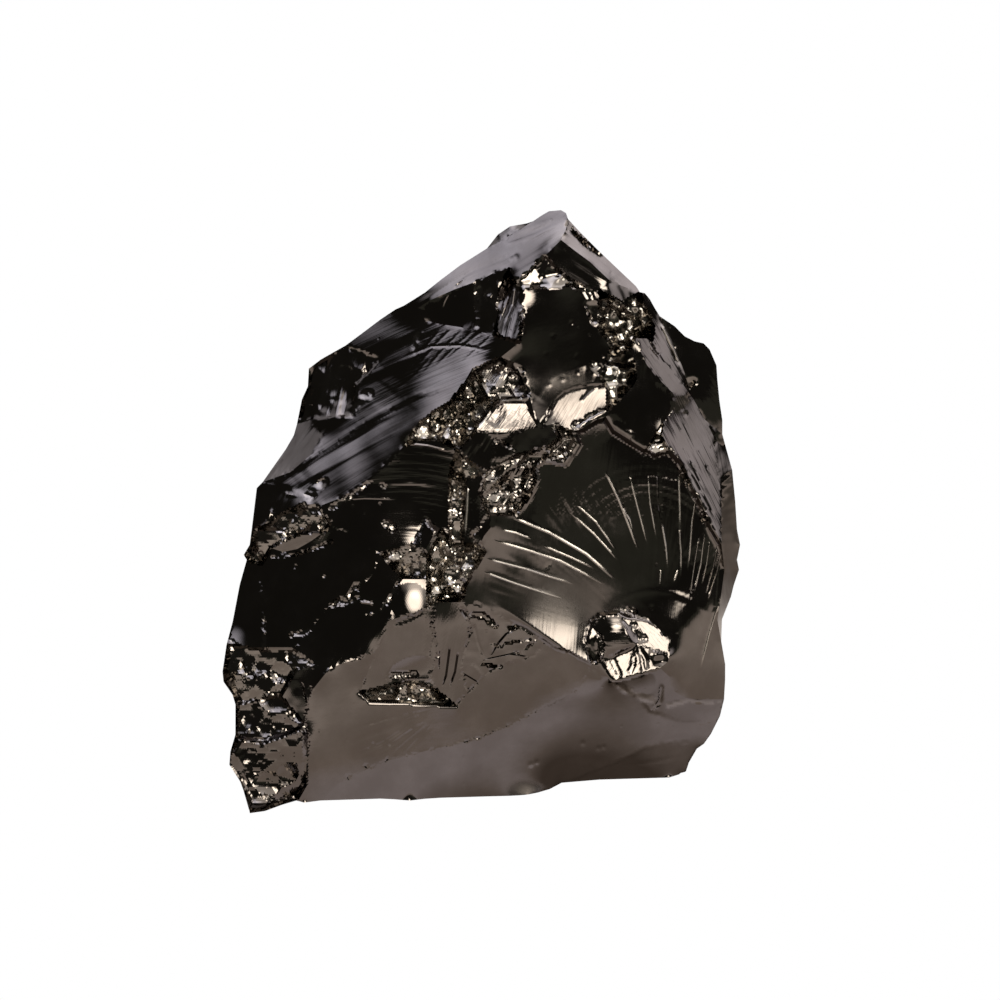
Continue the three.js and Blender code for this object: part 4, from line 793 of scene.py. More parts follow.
def grain(x, y, seed):
    """Smooth chance heights from -1 to 1 on a lattice of one-unit squares."""
    ix, iy = np.floor(x).astype(np.int64), np.floor(y).astype(np.int64)
    fx, fy = x - ix, y - iy
    fx, fy = fx * fx * (3 - 2 * fx), fy * fy * (3 - 2 * fy)

    def knot(i, j):
        """The chance height at a point of the lattice."""
        mixed = (i * KNOT_ACROSS + j * KNOT_UP + seed * KNOT_SEED) & WHOLE_WORD
        mixed = ((mixed ^ (mixed >> 13)) * KNOT_MIX) & WHOLE_WORD
        return ((mixed ^ (mixed >> 16)) & LOW_WORD) / HALF_WORD - 1

    low = knot(ix, iy) * (1 - fx) + knot(ix + 1, iy) * fx
    high = knot(ix, iy + 1) * (1 - fx) + knot(ix + 1, iy + 1) * fx
    return low * (1 - fy) + high * fy


def two_grains(x, y, seed, finer):
    """Smooth chance heights with a finer grain of them on top."""
    share, more_x, more_y, seed_step = finer
    return grain(x, y, seed) + share * grain(x * more_x, y * more_y, seed + seed_step)


def streaks(x, y, angle, long, fine, height, seed):
    """Fine combed lines that run at an angle, each about "long" by "fine"."""
    along, over = turned(x, y, angle)
    return height * two_grains(along / long, over / fine, seed, STREAK_GRAIN)


def swell(x, y, size, height, seed):
    """A slow unevenness of the surface."""
    return height * two_grains(x / size, y / size, seed, SWELL_GRAIN)


def line_gap(x, y, stops):
    """Distance to a bent line, which side of it, and how far along it, from 0 to 1."""
    best = np.full_like(x, FAR_OFF)
    side, along = np.zeros_like(x), np.zeros_like(x)
    lengths = [math.dist(a, b) for a, b in zip(stops, stops[1:])]
    gone, whole = 0.0, sum(lengths)
    for (x0, y0), (x1, y1), length in zip(stops, stops[1:], lengths):
        dx, dy = (x1 - x0) / length, (y1 - y0) / length
        t = np.clip((x - x0) * dx + (y - y0) * dy, 0, length)
        gap = np.hypot(x - x0 - t * dx, y - y0 - t * dy)
        nearer = gap < best
        best = np.where(nearer, gap, best)
        side = np.where(nearer, np.sign((y - y0) * dx - (x - x0) * dy), side)
        along = np.where(nearer, (gone + t) / whole, along)
        gone += length
    return best, side, along


def ray(x, y, stops, width, height, lean=0.0):
    """One raised or sunk line, tapered at its ends; lean makes one flank steeper."""
    gap, side, along = line_gap(x, y, stops)
    reach = width * (1 + lean * side)
    taper = np.clip(along / RAY_START, 0, 1) * np.clip((1 - along) / RAY_END, 0, 1)
    return height * taper * np.maximum(0, 1 - gap / reach)


def burr(x, y, stops, width, height, lean=0.0):
    """A fine raised line whose crest gets a painted glint: a light colour and more roughness in the shader.
    """
    return ray(x, y, stops, width, height, lean)


def arc(centre, radius, start, end):
    """Stops along part of a circle; angles in degrees, anticlockwise from the right."""
    turns = np.radians(np.arange(start, end + 1, ARC_STEP))
    return [(centre[0] + radius * math.cos(t), centre[1] + radius * math.sin(t)) for t in turns]


def tipped(x, y, centre, across, up, lean_x, lean_y):
    """Tips an oval patch so that it faces another way, with soft sides."""
    u, v = x - centre[0], y - centre[1]
    return (lean_x * u + lean_y * v) * np.exp(-((u / across) ** 4) - (v / up) ** 4)


def scoop(x, y, foot, angle, across, rise, fall, depth, lip):
    """A slope that climbs inwards from a lip on a ridge, then comes slowly back, wider and wider."""
    along, over = turned(x - foot[0], y - foot[1], angle)
    v = over / rise
    beyond = np.maximum(0, v - 1) * rise / fall
    u = along / across / (1 + SCOOP_WIDEN * beyond)
    climb = 1 - np.logaddexp(0, SCOOP_SOFT * (1 - v)) / SCOOP_SOFT
    stays = lip + (1 - lip) * np.exp(-(beyond**2))
    return depth * np.exp(-(u**4)) * (lip * np.clip(v / SCOOP_LIP, 0, 1) - np.maximum(0, climb) * stays)


def window(value, low, high, soft):
    """1 between two limits and 0 outside, with soft sides."""
    return np.clip((value - low) / soft, 0, 1) * np.clip((high - value) / soft, 0, 1)


def around(x, y, centre):
    """Turn in degrees and distance from a centre."""
    dx, dy = x - centre[0], y - centre[1]
    return np.degrees(np.arctan2(dy, dx)), np.hypot(dx, dy)


def comb_about(x, y, centre, fine, long, height, seed, turns, reaches):
    """Fine rays that spread from a centre: fine in degrees, long in millimetres."""
    turn, gap = around(x, y, centre)
    fade = window(turn, *turns, FADE_TURN) * window(gap, *reaches, FADE_REACH)
    return height * fade * two_grains(turn / fine, gap / long, seed, SPREAD_GRAIN)


def ripples(x, y, centre, fine, long, height, seed, turns, reaches):
    """Ripples that run round a centre: fine in millimetres, long in degrees."""
    turn, gap = around(x, y, centre)
    fade = window(turn, *turns, FADE_TURN) * window(gap, *reaches, FADE_REACH)
    return height * fade * two_grains(gap / fine, turn / long, seed, SPREAD_GRAIN)


def haze(x, y, centre, across, up, amount):
    """A place where the mirror is duller, softly bounded; it raises nothing."""
    u, v = (x - centre[0]) / across, (y - centre[1]) / up
    return amount * np.exp(-(u * u) - v * v)


def pit(x, y, centre, radius, depth):
    """A small round pit."""
    gap = np.hypot(x - centre[0], y - centre[1]) / radius
    return -depth * np.exp(-(gap**4))


def bowl(x, y, centre, across, up, angle, depth):
    """A shallow oval bowl with a sharp rim."""
    along, over = turned(x - centre[0], y - centre[1], angle)
    u, v = along / across, over / up
    return -depth * np.maximum(0, 1 - u * u - v * v)


def seam(x, y, stops, width, size, depth, seed):
    """A crushed seam: small chips in a band along a line."""
    gap = line_gap(x, y, stops)[0]
    ragged = width * (1 + SEAM_RAGGED * grain(x / SEAM_RAG_SIZE, y / SEAM_RAG_SIZE, seed + 2))
    height = np.zeros_like(x)
    band = gap < width * SEAM_BAND
    if band.any():
        height[band] = -crushed(x[band], y[band], size, depth, SEAM_TIP, seed)
    return height * np.clip((ragged - gap) / (SEAM_EDGE * width), 0, 1)


def tilt(x, y, rim, centre, lean_x, lean_y):
    """Tips a whole face about a centre; it comes back within a narrow step at its ridges."""
    return (lean_x * (x - centre[0]) + lean_y * (y - centre[1])) * np.clip(rim / STEP_BACK, 0, 1)


def fold(x, y, rim, start, angle, lean):
    """Tips the part of a face above a line, up to a narrow step at its ridges."""
    above = np.maximum(0, turned(x - start[0], y - start[1], angle)[1])
    return -lean * above * np.clip(rim / STEP_BACK, 0, 1)


# Lines of the break that two faces share
GLOW_SHOULDER = [(5.6, 37.6), (6.8, 39.4), (8.4, 41.6), (10.6, 42.5), (13.6, 42.5)]
LOW_BACK_SEAM = (seam, [(-14, 22), (-5, 23), (4, 24)], 0.8, 0.9, 0.22, 313)
LEFT_BACK_SEAM = (seam, [(-12, 40), (-13, 31), (-14, 22)], 0.8, 0.9, 0.22, 314)

# Marks of the break on each face, in layout millimetres, with what each kind of mark asks for
MARKS = {
    "crown": [
        (streaks, 30, 6, 0.42, 0.022, 11), (streaks, 30, 4, 0.16, 0.007, 12),
        (ray, [(0.5, 56.2), (4, 57.9), (8.3, 59.4)], 0.42, -0.1),
        (ray, [(2.6, 56.5), (5.5, 57.5), (8.4, 58.9)], 0.16, -0.06),
        (ray, [(-6.2, 50.6), (-1, 53.7), (4, 56)], 0.55, 0.09),
        (ray, [(-2.7, 52.2), (-1.2, 53.4)], 0.1, -0.08),
        (ray, [(-5, 51.2), (-1.5, 53.3), (3, 55.2)], 0.14, -0.035),
        (ray, [(3, 53.8), (6, 55.8), (8, 57.8)], 0.5, 0.08), (pit, (3.6, 55.3), 0.3, 0.06),
        (pit, (3.2, 55.1), 0.16, 0.05),
    ],
    "crownBack": [(streaks, 33, 4, 0.5, 0.03, 14)],
    "leftScoop": [
        (streaks, 72, 2.5, 0.5, 0.05, 21),
        (seam, [(-0.2, 52.8), (-0.2, 50.4), (-0.3, 48.4)], 0.35, 0.3, 0.16, 22),
        (seam, [(0.9, 51.9), (1.7, 50.8)], 0.6, 0.35, 0.22, 23),
        (ray, [(-3, 52), (-3.6, 50.8), (-3.9, 49.8)], 0.12, 0.08),
        (ray, [(1.5, 49.6), (1.9, 51.4), (1.6, 53.2)], 0.45, 0.22), (pit, (-5.7, 49.9), 0.2, 0.1),
    ],
    "scoopStrip": [
        (tipped, (2.9, 50.4), 3, 5.5, 0.15, -0.46), (streaks, 76, 3.5, 0.3, 0.055, 25),
        (ray, [(3, 53.6), (2.4, 51.3)], 0.13, -0.3),
        (ray, [(3.6, 52.6), (3.3, 50.4), (2.3, 48)], 0.1, -0.1),
        (ray, [(3, 51.6), (2.4, 49.8), (1.7, 48.2)], 0.1, -0.1),
    ],
    "leaf": [
        (streaks, 27, 7, 0.8, 0.02, 31), (streaks, 30, 5, 0.45, 0.008, 32),
        (ray, [(-21.5, 32.7), (-18, 34.7), (-15, 36.6), (-10, 39.6), (-6.5, 41.4),
               (-2.5, 42.3)], 0.3, 0.09, 0.3),
        (ray, [(-20, 32.8), (-14, 36.2), (-10, 38.5), (-5.5, 40.5)], 0.45, -0.08),
        (ray, [(-19, 32.2), (-14, 34.9), (-9.5, 37.3), (-5.5, 39.6)], 0.5, 0.08),
        (ray, [(-13.5, 42.6), (-9, 44.4), (-6, 45.6)], 0.7, 0.1),
        (ray, [(-13, 44.3), (-9, 46), (-5.6, 47.3)], 0.8, -0.16),
        (ray, [(-7.5, 45.3), (-5, 46.35), (-2, 46.45), (1.2, 45.9)], 0.14, -0.07),
        (ray, [(0.4, 48), (-1.5, 46.6), (-3.2, 45.2)], 0.09, -0.03),
        (ray, [(-0.6, 48), (-2.4, 46.4), (-4.4, 44.4)], 0.09, -0.03),
        (ray, [(-1.6, 48.2), (-3.4, 46.4), (-5.6, 43.8)], 0.09, -0.03),
        (ray, [(-2.8, 48.2), (-4.4, 46.6), (-6.4, 44.2)], 0.09, -0.03),
        (ray, [(-4, 48), (-5.6, 46.2), (-7.6, 43.6)], 0.09, -0.03),
        (ray, [(1.3, 47.6), (-0.2, 46.2), (-1.8, 44.8)], 0.08, -0.025),
        (ray, [(-5, 45.2), (-6.4, 43.6), (-8.4, 42)], 0.08, -0.025),
        (seam, [(-6.2, 47.9), (-6.6, 45.8)], 0.28, 0.25, 0.14, 33),
        (seam, [(-15.6, 32.6), (-17.4, 31.4)], 0.5, 0.4, 0.2, 34),
        (ray, [(-12, 48.6), (-9, 49.6)], 0.35, 0.08),
        (ray, [(-19, 31.4), (-14, 35.4), (-10.6, 38.4), (-8, 41.6), (-6, 45.6)], 4, -0.2),
        (ray, [(-19.6, 34), (-15.4, 38), (-11.6, 41.2), (-9.4, 44)], 3.6, 0.2),
        (seam, [(-12.8, 39.8), (-11.2, 41.6)], 0.45, 0.4, 0.2, 35),
        (seam, [(-13.4, 42.8), (-12.8, 41.6)], 0.3, 0.4, 0.2, 36),
    ],
    "thorns": [(streaks, 78, 2.5, 0.7, 0.16, 41)],
    "lobe": [
        (streaks, 52, 3, 0.35, 0.05, 43), (ray, [(-18.5, 38.6), (-18.9, 36.5), (-20.5, 34.3)], 0.3, -0.1),
    ],
    "leftCorner": [
        (streaks, 60, 3, 0.8, 0.08, 45), (ray, [(-22.3, 28), (-21.2, 29), (-20.9, 30.2)], 0.3, 0.22),
        (ray, [(-20, 30.6), (-19.4, 31.6), (-18.2, 31.4)], 0.14, 0.08),
        (seam, [(-17.6, 30.2), (-17.2, 31.3)], 0.6, 0.35, 0.25, 46),
    ],
    "sheen": [
        (streaks, -38, 3, 0.35, 0.022, 51),
        (seam, [(8.9, 58.2), (10.6, 56.6), (12, 55.6)], 0.22, 0.3, 0.05, 52),
        (ray, [(9, 56.8), (12.5, 54.4), (15.2, 52.5)], 0.16, 0.05), (pit, (13.2, 53.6), 0.15, 0.08),
    ],
    "night": [(streaks, -32, 4, 0.6, 0.03, 54), (ray, [(9, 56.3), (11.5, 54.5), (13, 53.2)], 0.3, 0.12)],
    "swirl": [(ripples, (11.6, 50.8), 0.5, 40, 0.06, 56, (-180, 180), (0, 9))],
    "topScar": [
        (swell, 5, 0.05, 61), (ray, [(4.4, 52.1), (8, 52.7), (10.4, 52.3)], 0.25, 0.06),
        (pit, (9.15, 48.7), 0.16, 0.1), (pit, (7.3, 47.4), 0.14, 0.08), (pit, (6.5, 45.6), 0.1, 0.06),
        (pit, (9.7, 45.4), 0.12, 0.06), (pit, (8.2, 43), 0.14, 0.08), (pit, (6.9, 42.5), 0.16, 0.08),
        (pit, (9.8, 43.7), 0.1, 0.08), (seam, [(4.3, 50.2), (4.1, 47.4)], 0.22, 0.3, 0.1, 62),
        (seam, [(10.6, 51.9), (11.4, 50.2), (12.2, 48)], 0.55, 0.4, 0.16, 63),
        (seam, [(11.4, 44.3), (12.6, 43.4)], 0.5, 0.4, 0.16, 64),
        (seam, [(2.6, 44.8), (4.2, 43.9)], 0.25, 0.3, 0.12, 65),
        (comb_about, (10, 38), 3, 3, 0.03, 66, (60, 150), (4, 7)), (ray, GLOW_SHOULDER, 2, 0.26),
        (haze, (8.6, 42.4), 2.6, 1.6, 0.25),
    ],
    "glow": [
        (comb_about, (9.5, 37), 2.2, 2, 0.003, 71, (0, 180), (1.5, 8)),
        (ray, [(10, 40.8), (10.8, 41.7), (11.8, 42.4)], 0.12, -0.07), (streaks, 60, 1, 0.16, 0.003, 72),
        (haze, (9, 41.6), 3, 1.5, 0.2),
        (seam, [(9.8, 38.5), (10.9, 39.2), (11.9, 39.5)], 0.4, 0.22, 0.05, 75),
        (ray, GLOW_SHOULDER, 0.8, 0.02),
    ],
    "rim": [(streaks, 30, 1.5, 0.25, 0.06, 74)],
    "edgeStrip": [
        (streaks, -62, 6, 0.35, 0.1, 81), (burr, [(18, 48.8), (19.3, 46.2), (20.3, 43.8)], 0.16, 0.14),
    ],
    "lens": [
        (streaks, -55, 3.5, 0.22, 0.016, 83), (ray, [(16.8, 46.9), (18.2, 45), (19.6, 43.2)], 0.12, -0.08),
        (ray, [(16.9, 46.3), (17.8, 45.2)], 0.08, -0.06), (ray, [(17.4, 45.6), (18.6, 44.4)], 0.08, -0.06),
    ],
    "backFlat": [(swell, 3, 0.04, 85), (seam, [(20.4, 42.6), (21.4, 42.9)], 0.5, 0.4, 0.12, 86)],
    "rightEdge": [(comb_about, (12, 26), 1.6, 2.5, 0.035, 88, (-60, 60), (9, 16)), (swell, 2.2, 0.06, 89)],
    "hatch": [
        (streaks, -64, 5, 0.22, 0.018, 91), (streaks, -58, 2, 0.45, 0.035, 92),
        (ray, [(20, 39), (21.2, 36.4), (22.4, 33.8)], 0.12, -0.06),
        (ray, [(20.8, 35.2), (21.6, 33.6), (22.4, 32)], 0.1, -0.1),
        (ray, [(21.6, 36.2), (22.5, 34.6), (23.2, 33.4)], 0.09, -0.07),
        (ray, [(22.2, 31.8), (22.9, 30.6), (23.5, 29.2)], 0.09, -0.07),
        (ray, [(20.9, 34), (21.6, 32.8), (22.3, 31.4)], 0.12, -0.1), (pit, (20.6, 39.6), 0.22, 0.08),
        (pit, (20.2, 40.1), 0.2, 0.06),
    ],
    "blackScar": [
        (swell, 3, 0.03, 95), (ray, [(13.2, 38.7), (14.6, 37.8), (15.8, 37.4)], 0.4, 0.1),
        (streaks, 85, 3, 0.4, 0.02, 96),
    ],
    "fan": [
        (scoop, (6.6, 16.4), -34, 5, 5.2, 14, 1.8, 0.5), (fold, (8, 25.2), -29, 0.06),
        (haze, (8.4, 21), 5, 3.2, 0.4), (haze, (4, 22.5), 5, 4, 0.1),
        (comb_about, (16.6, 17), 1.3, 5, 0.01, 101, (30, 175), (4.5, 17)),
        (ray, arc((16.8, 25), 9.1, 35, 145), 0.34, -0.016),
        (ray, arc((16.8, 25), 9.6, 40, 135), 0.34, 0.012), (ray, arc((16.8, 25), 7.6, 38, 130), 0.9, 0.055),
        (ray, arc((16.8, 25), 8.3, 40, 130), 0.31, 0.012), (ray, arc((16.8, 25), 6.9, 40, 130), 0.4, 0.012),
        (ripples, (16.8, 25), 0.35, 40, 0.008, 102, (35, 150), (5, 9.6)),
        (burr, [(12.5, 33.9), (13.9, 31), (15, 28.2), (15.9, 25.8)], 0.13, 0.085, 0.4),
        (burr, [(14.3, 30.2), (15, 29), (15.3, 28)], 0.08, 0.05),
        (burr, [(15, 33.3), (15.7, 30.6), (16.8, 26.4)], 0.1, 0.05, 0.4),
        (burr, [(16.8, 33.4), (17, 30.8), (17.7, 27)], 0.09, 0.05, 0.4),
        (ray, [(17.8, 33.8), (17.8, 31.2), (18.1, 29)], 0.12, -0.08, 0.4),
        (burr, [(18.2, 28.8), (18.6, 26.4), (18.8, 24.2)], 0.1, 0.07),
        (burr, [(19.9, 33.6), (20, 30), (20, 27.8)], 0.14, 0.05),
        (burr, [(19.9, 29), (20.1, 26), (20.1, 23.4)], 0.1, 0.09),
        (burr, [(21.6, 31.2), (21.2, 28.6), (21, 26), (20.8, 24)], 0.1, 0.07),
        (burr, [(21.9, 27.2), (21.5, 24.8), (21, 21.4)], 0.1, 0.12),
        (burr, [(22.5, 27.6), (22.1, 24.6), (21.4, 21.6)], 0.1, 0.09),
        (burr, [(23, 26.8), (22.7, 24.6), (22.2, 22.6)], 0.1, 0.1),
        (burr, [(23.8, 26.4), (23.3, 24), (22.6, 21.6)], 0.1, 0.12),
        (burr, [(24.1, 25.6), (23.7, 23.6), (22.8, 21)], 0.09, 0.1),
        (burr, [(19.8, 24), (19.4, 22.8)], 0.1, 0.05), (burr, [(18.1, 24), (18, 22.6)], 0.1, 0.04),
        (burr, [(24.4, 21.8), (23.6, 19.6), (22.9, 17.2), (22.1, 14)], 0.12, 0.16, -0.4),
        (burr, [(9.7, 30.5), (11.6, 28.8), (13.6, 26)], 0.1, 0.06, 0.4),
        (burr, [(9.2, 29.6), (11.4, 27.6), (13.8, 25)], 0.1, 0.05, 0.4),
        (burr, [(3.4, 29.2), (7, 27.7), (10.6, 25.6), (13.6, 23)], 0.15, 0.09, 0.4),
        (burr, [(6.4, 26.4), (9.2, 25.2), (11.4, 24.2)], 0.11, 0.05, 0.4),
        (burr, [(2.2, 28), (3.6, 27.7), (5.2, 27.1)], 0.11, 0.07, 0.4),
        (burr, [(1.2, 27), (5, 25.9), (8, 24.9), (12.4, 22.6)], 0.13, 0.08, 0.4),
        (burr, [(0.7, 25.1), (4.6, 24.1), (7, 23.3), (9.4, 22.6)], 0.12, 0.11, 0.4),
        (burr, [(0.4, 23.8), (3.4, 22.7), (8.2, 21.1)], 0.11, 0.1, 0.4),
        (seam, [(6.5, 24.1), (6.9, 24.5)], 0.16, 0.25, 0.04, 103),
        (seam, [(14.3, 20.2), (15.6, 19.8)], 0.3, 0.3, 0.14, 104),
        (seam, [(20, 34.2), (21, 32.4), (22.4, 30.6), (22.4, 29.2)], 0.28, 0.35, 0.16, 105),
        (pit, (17.2, 20.2), 0.25, 0.05), (pit, (19.7, 17.5), 0.12, 0.06),
        (streaks, 80, 4, 0.25, 0.006, 106), (ray, arc((17.5, 14.5), 7.4, 30, 150), 0.4, 0.03),
    ],
    "rippled": [
        (ripples, (-8, 14), 0.8, 60, 0.03, 121, (40, 140), (14, 24)),
        (ray, [(-14, 31), (-11.6, 31.2), (-8.2, 31.1)], 0.12, 0.04),
        (ray, [(-9.8, 32.5), (-7, 32.8), (-4.2, 32.4)], 0.35, 0.04),
        (ray, [(-7, 36.6), (-5.2, 36.4), (-3.2, 35.9)], 0.14, 0.12),
        (seam, [(-14.8, 30.2), (-13.6, 31), (-11, 32.8)], 0.3, 0.3, 0.16, 122),
        (seam, [(-9.9, 32.6), (-9.5, 32.3)], 0.2, 0.3, 0.1, 123),
        (seam, [(-9.4, 28.6), (-8.6, 28.2)], 0.3, 0.3, 0.08, 124), (pit, (-10, 30.6), 0.12, 0.1),
    ],
    "flank": [
        (swell, 3, 0.07, 131), (streaks, 70, 3, 0.6, 0.035, 132),
        (seam, [(-20.8, 25.3), (-18.6, 25.5), (-16.6, 26.1), (-14.8, 26.9)], 0.14, 0.3, 0.12, 133),
        (seam, [(-14.9, 20.3), (-13.2, 21.4), (-12.3, 22.6)], 0.3, 0.35, 0.16, 134),
        (seam, [(-21.9, 19.2), (-21.7, 16.4)], 0.3, 0.35, 0.14, 135),
        (seam, [(-18.9, 17.5), (-17, 17.8), (-15.4, 17.2)], 0.25, 0.35, 0.14, 136),
        (pit, (-18.5, 24.4), 0.2, 0.1), (pit, (-15.6, 23.4), 0.15, 0.1),
    ],
    "flankLeft": [(swell, 2.5, 0.05, 138), (seam, [(-25, 17), (-23.9, 16.2)], 0.25, 0.3, 0.12, 139)],
    "wedge": [(swell, 2, 0.04, 141), (seam, [(-8, 23), (-9.8, 20)], 0.16, 0.25, 0.16, 142)],
    "lowScoop": [
        (swell, 2.5, 0.05, 145), (ray, [(-12, 20.8), (-11, 20.7), (-10.2, 20.3)], 0.14, 0.12),
        (seam, [(-14.8, 20.6), (-12.6, 20.9)], 0.4, 0.35, 0.16, 146),
        (seam, [(-11.2, 19.7), (-10.6, 19.6)], 0.25, 0.3, 0.12, 147),
        (streaks, 62, 3, 0.5, 0.03, 148),
    ],
    "ledge": [(swell, 1.5, 0.05, 151)],
    "lumps": [
        (bowl, (2.9, 30.7), 1.7, 1, 62, 0.55), (bowl, (2.5, 32.4), 1.2, 0.7, 50, 0.35),
        (bowl, (4.9, 33.2), 0.8, 1.5, -12, 0.55), (bowl, (4.2, 35.2), 1.4, 0.8, 40, 0.35),
        (bowl, (8.2, 36.4), 1.7, 1, 62, 0.6),
        (ray, [(0.4, 31.6), (2.2, 33.5), (4.6, 35.6), (6.8, 37.6)], 0.7, 0.3, 0.3),
        (seam, [(3, 35.4), (4.6, 36.2), (6.4, 37.4), (7.4, 38.2)], 0.3, 0.35, 0.18, 145),
        (seam, [(4, 30.4), (5, 31.6), (5.6, 34.2)], 0.18, 0.3, 0.16, 146),
        (seam, [(7.2, 35.6), (8.6, 35.2), (9.6, 36.6)], 0.16, 0.3, 0.14, 147),
        (burr, [(2.2, 30.2), (3, 31.6), (3.8, 31.8)], 0.14, 0.12),
        (burr, [(4.5, 32.2), (5, 33.4), (5, 34.4)], 0.14, 0.12),
        (burr, [(7.4, 35.8), (8.4, 36.9), (9.4, 37.2)], 0.14, 0.12),
        (burr, [(0.6, 33.4), (1.6, 34.4), (3.2, 34.8)], 0.16, 0.14),
    ],
    "pocketFace": [
        (tipped, (2.2, 36.2), 1.2, 1.2, 0.1, -0.22), (streaks, 60, 1, 0.3, 0.03, 153),
        (seam, [(1.6, 36.9), (2.6, 36.6), (3.4, 36)], 0.14, 0.3, 0.12, 154),
    ],
    "blackScoop": [
        (swell, 1.5, 0.05, 155), (streaks, 84, 3, 0.4, 0.03, 156),
        (burr, [(-1.2, 32.4), (-1.3, 30), (-1.5, 27.4)], 0.16, 0.1),
        (seam, [(-0.8, 27.4), (0.2, 28.6), (0.8, 29.4)], 0.18, 0.3, 0.14, 157),
    ],
    "glint": [(bowl, (-6.9, 20.6), 1.9, 2.2, 0, -0.28)],
    "brushTop": [
        (ray, [(3.4, 43.9), (4.1, 43.4), (4.4, 42.6)], 0.2, 0.14),
        (tipped, (3.9, 42.4), 0.8, 1.2, 0.16, 0.2), (tilt, (5, 41), 0, -0.2),
    ],
    "brushed": [
        (tilt, (2.6, 38.6), 0, -0.14), (streaks, 50, 1.2, 0.14, 0.011, 161),
        (burr, [(-0.4, 38), (0.3, 38.7), (1.2, 39.8)], 0.16, 0.06),
        (ray, [(1.2, 38.4), (1.8, 39.4), (2.2, 40.6)], 0.8, -0.1),
        (burr, [(2, 40.9), (3.4, 41), (4.8, 41)], 0.14, 0.06),
    ],
    "splint": [(streaks, 75, 1.5, 0.3, 0.05, 165), (tilt, (-7, 27), 0.22, 0)],
    "bandLens": [(streaks, 18, 3, 0.4, 0.012, 168)],
    "slab": [(swell, 2, 0.05, 171), (ray, [(-17.8, 12.8), (-17.3, 10.6), (-17.2, 8.4)], 0.12, -0.14)],
    "petal": [
        (streaks, 82, 4, 0.45, 0.006, 175), (haze, (-6.5, 17), 4, 4, 0.1),
        (ray, [(-4.8, 20.6), (-4.7, 17.5), (-5.2, 14.4)], 0.6, -0.16),
        (bowl, (-6.9, 13.8), 2.6, 1.5, 20, 0.45),
        (seam, [(-10.6, 11.2), (-8.8, 12.2), (-5.4, 12.9), (-3.4, 12.6)], 0.35, 0.3, 0.1, 177),
        (seam, [(-8.6, 13.4), (-6.6, 13.6)], 0.35, 0.3, 0.14, 176),
        (ray, [(-8.6, 18.6), (-7, 19.2), (-5.6, 20)], 0.35, -0.16),
    ],
    "petalRight": [
        (streaks, 80, 3.5, 0.5, 0.012, 181), (ray, [(-3, 16.4), (-3.4, 13.4), (-3.8, 12.4)], 0.12, -0.16),
        (ray, [(-2.2, 15.8), (-2.5, 13.8), (-3, 12.4)], 0.12, -0.16),
        (ray, [(-4, 16), (-4.1, 14)], 0.12, -0.12),
        (ray, [(-2, 20.4), (-1.1, 19), (-1, 17.4), (-1.6, 15.4)], 0.28, -0.22),
    ],
    "roughSole": [
        (swell, 1.6, 0.07, 185), (ray, [(4, 18.3), (2.6, 17.6), (1.9, 16.8), (1, 15.4)], 0.12, -0.12),
        (seam, [(-0.8, 19.6), (0.4, 19.4), (1.6, 18.4)], 0.25, 0.4, 0.1, 188),
        (seam, [(3, 18.2), (4.4, 18.4), (5.2, 17.6)], 0.22, 0.35, 0.12, 189),
        (seam, [(1.6, 16.5), (3.4, 16.8), (5, 17)], 0.12, 0.3, 0.1, 190),
        (seam, [(4.6, 16.2), (5.6, 16.9)], 0.14, 0.3, 0.14, 196),
        (seam, [(0.2, 14.6), (1.6, 14.4), (3.4, 14.2)], 0.12, 0.3, 0.1, 197),
        (seam, [(3.4, 15.8), (3.9, 15.6)], 0.16, 0.3, 0.12, 200),
        (ray, [(-0.6, 18.6), (-0.2, 16.8), (0.4, 15.2)], 0.22, -0.06),
        (ray, [(-0.9, 14.6), (0.4, 13.2), (0.6, 12.2)], 0.32, 0.04),
        (ray, [(0.2, 15), (3, 15.6), (5.8, 15.2)], 0.08, -0.08),
        (ray, [(1.2, 13.8), (3.6, 14.6), (5.6, 15.4)], 0.08, -0.08),
        (ray, [(-1.9, 13.8), (-0.4, 12.9), (0.6, 12.2)], 0.08, -0.1),
        (seam, [(5.8, 14.7), (7.4, 14.5)], 0.18, 0.3, 0.14, 186),
        (seam, [(1.2, 16.6), (2.2, 16.4)], 0.16, 0.25, 0.1, 187),
    ],
    "sole": [
        (swell, 9, 0.05, 191), (ray, [(-5, 10), (-9, 9.2), (-13, 8)], 0.2, -0.023),
        (ray, [(-5.4, 9.6), (-9, 8.2), (-14, 6.4)], 0.26, -0.032),
        (ray, [(-6.4, 8.9), (-9.4, 6.8), (-13, 5.2)], 0.26, -0.041),
        (ray, [(-5.8, 8.7), (-8.4, 6.8), (-11, 5.4)], 0.21, -0.041),
        (ray, [(-5, 8.6), (-7.2, 6.8), (-8.8, 5.4)], 0.2, -0.036),
        (ray, [(-4.8, 8.4), (-6.2, 7), (-7.6, 5.4)], 0.2, -0.027),
        (ray, [(-5.2, 9.2), (-8, 7.6), (-10.4, 6.2)], 0.21, 0.023),
        (comb_about, (-3.6, 10.4), 2.2, 5, 0.016, 192, (185, 245), (1.5, 12)),
        (ray, [(-11, 10.8), (-9, 10.7)], 0.12, -0.14),
        (ray, [(-17.3, 8.2), (-17.3, 5.6), (-17.4, 3.2)], 0.07, -0.08), (pit, (-13.1, 3.3), 0.28, 0.16),
        (pit, (-11.4, 4.4), 0.2, 0.12), (pit, (-9.3, 5.1), 0.14, 0.1), (pit, (-10.6, 6.6), 0.12, 0.08),
        (pit, (-7.3, 5.3), 0.14, 0.08), (ray, [(11.7, 11), (12.4, 10.5), (14.6, 10.1)], 0.08, -0.1),
    ],
    "toe": [(tilt, (-20.5, 4), 0, 0.28)],
    "soleLow": [
        (haze, (4.5, 2), 1.7, 1, 0.45), (tipped, (12, 7.4), 6.5, 3.4, 0, -0.12), (swell, 8, 0.05, 195),
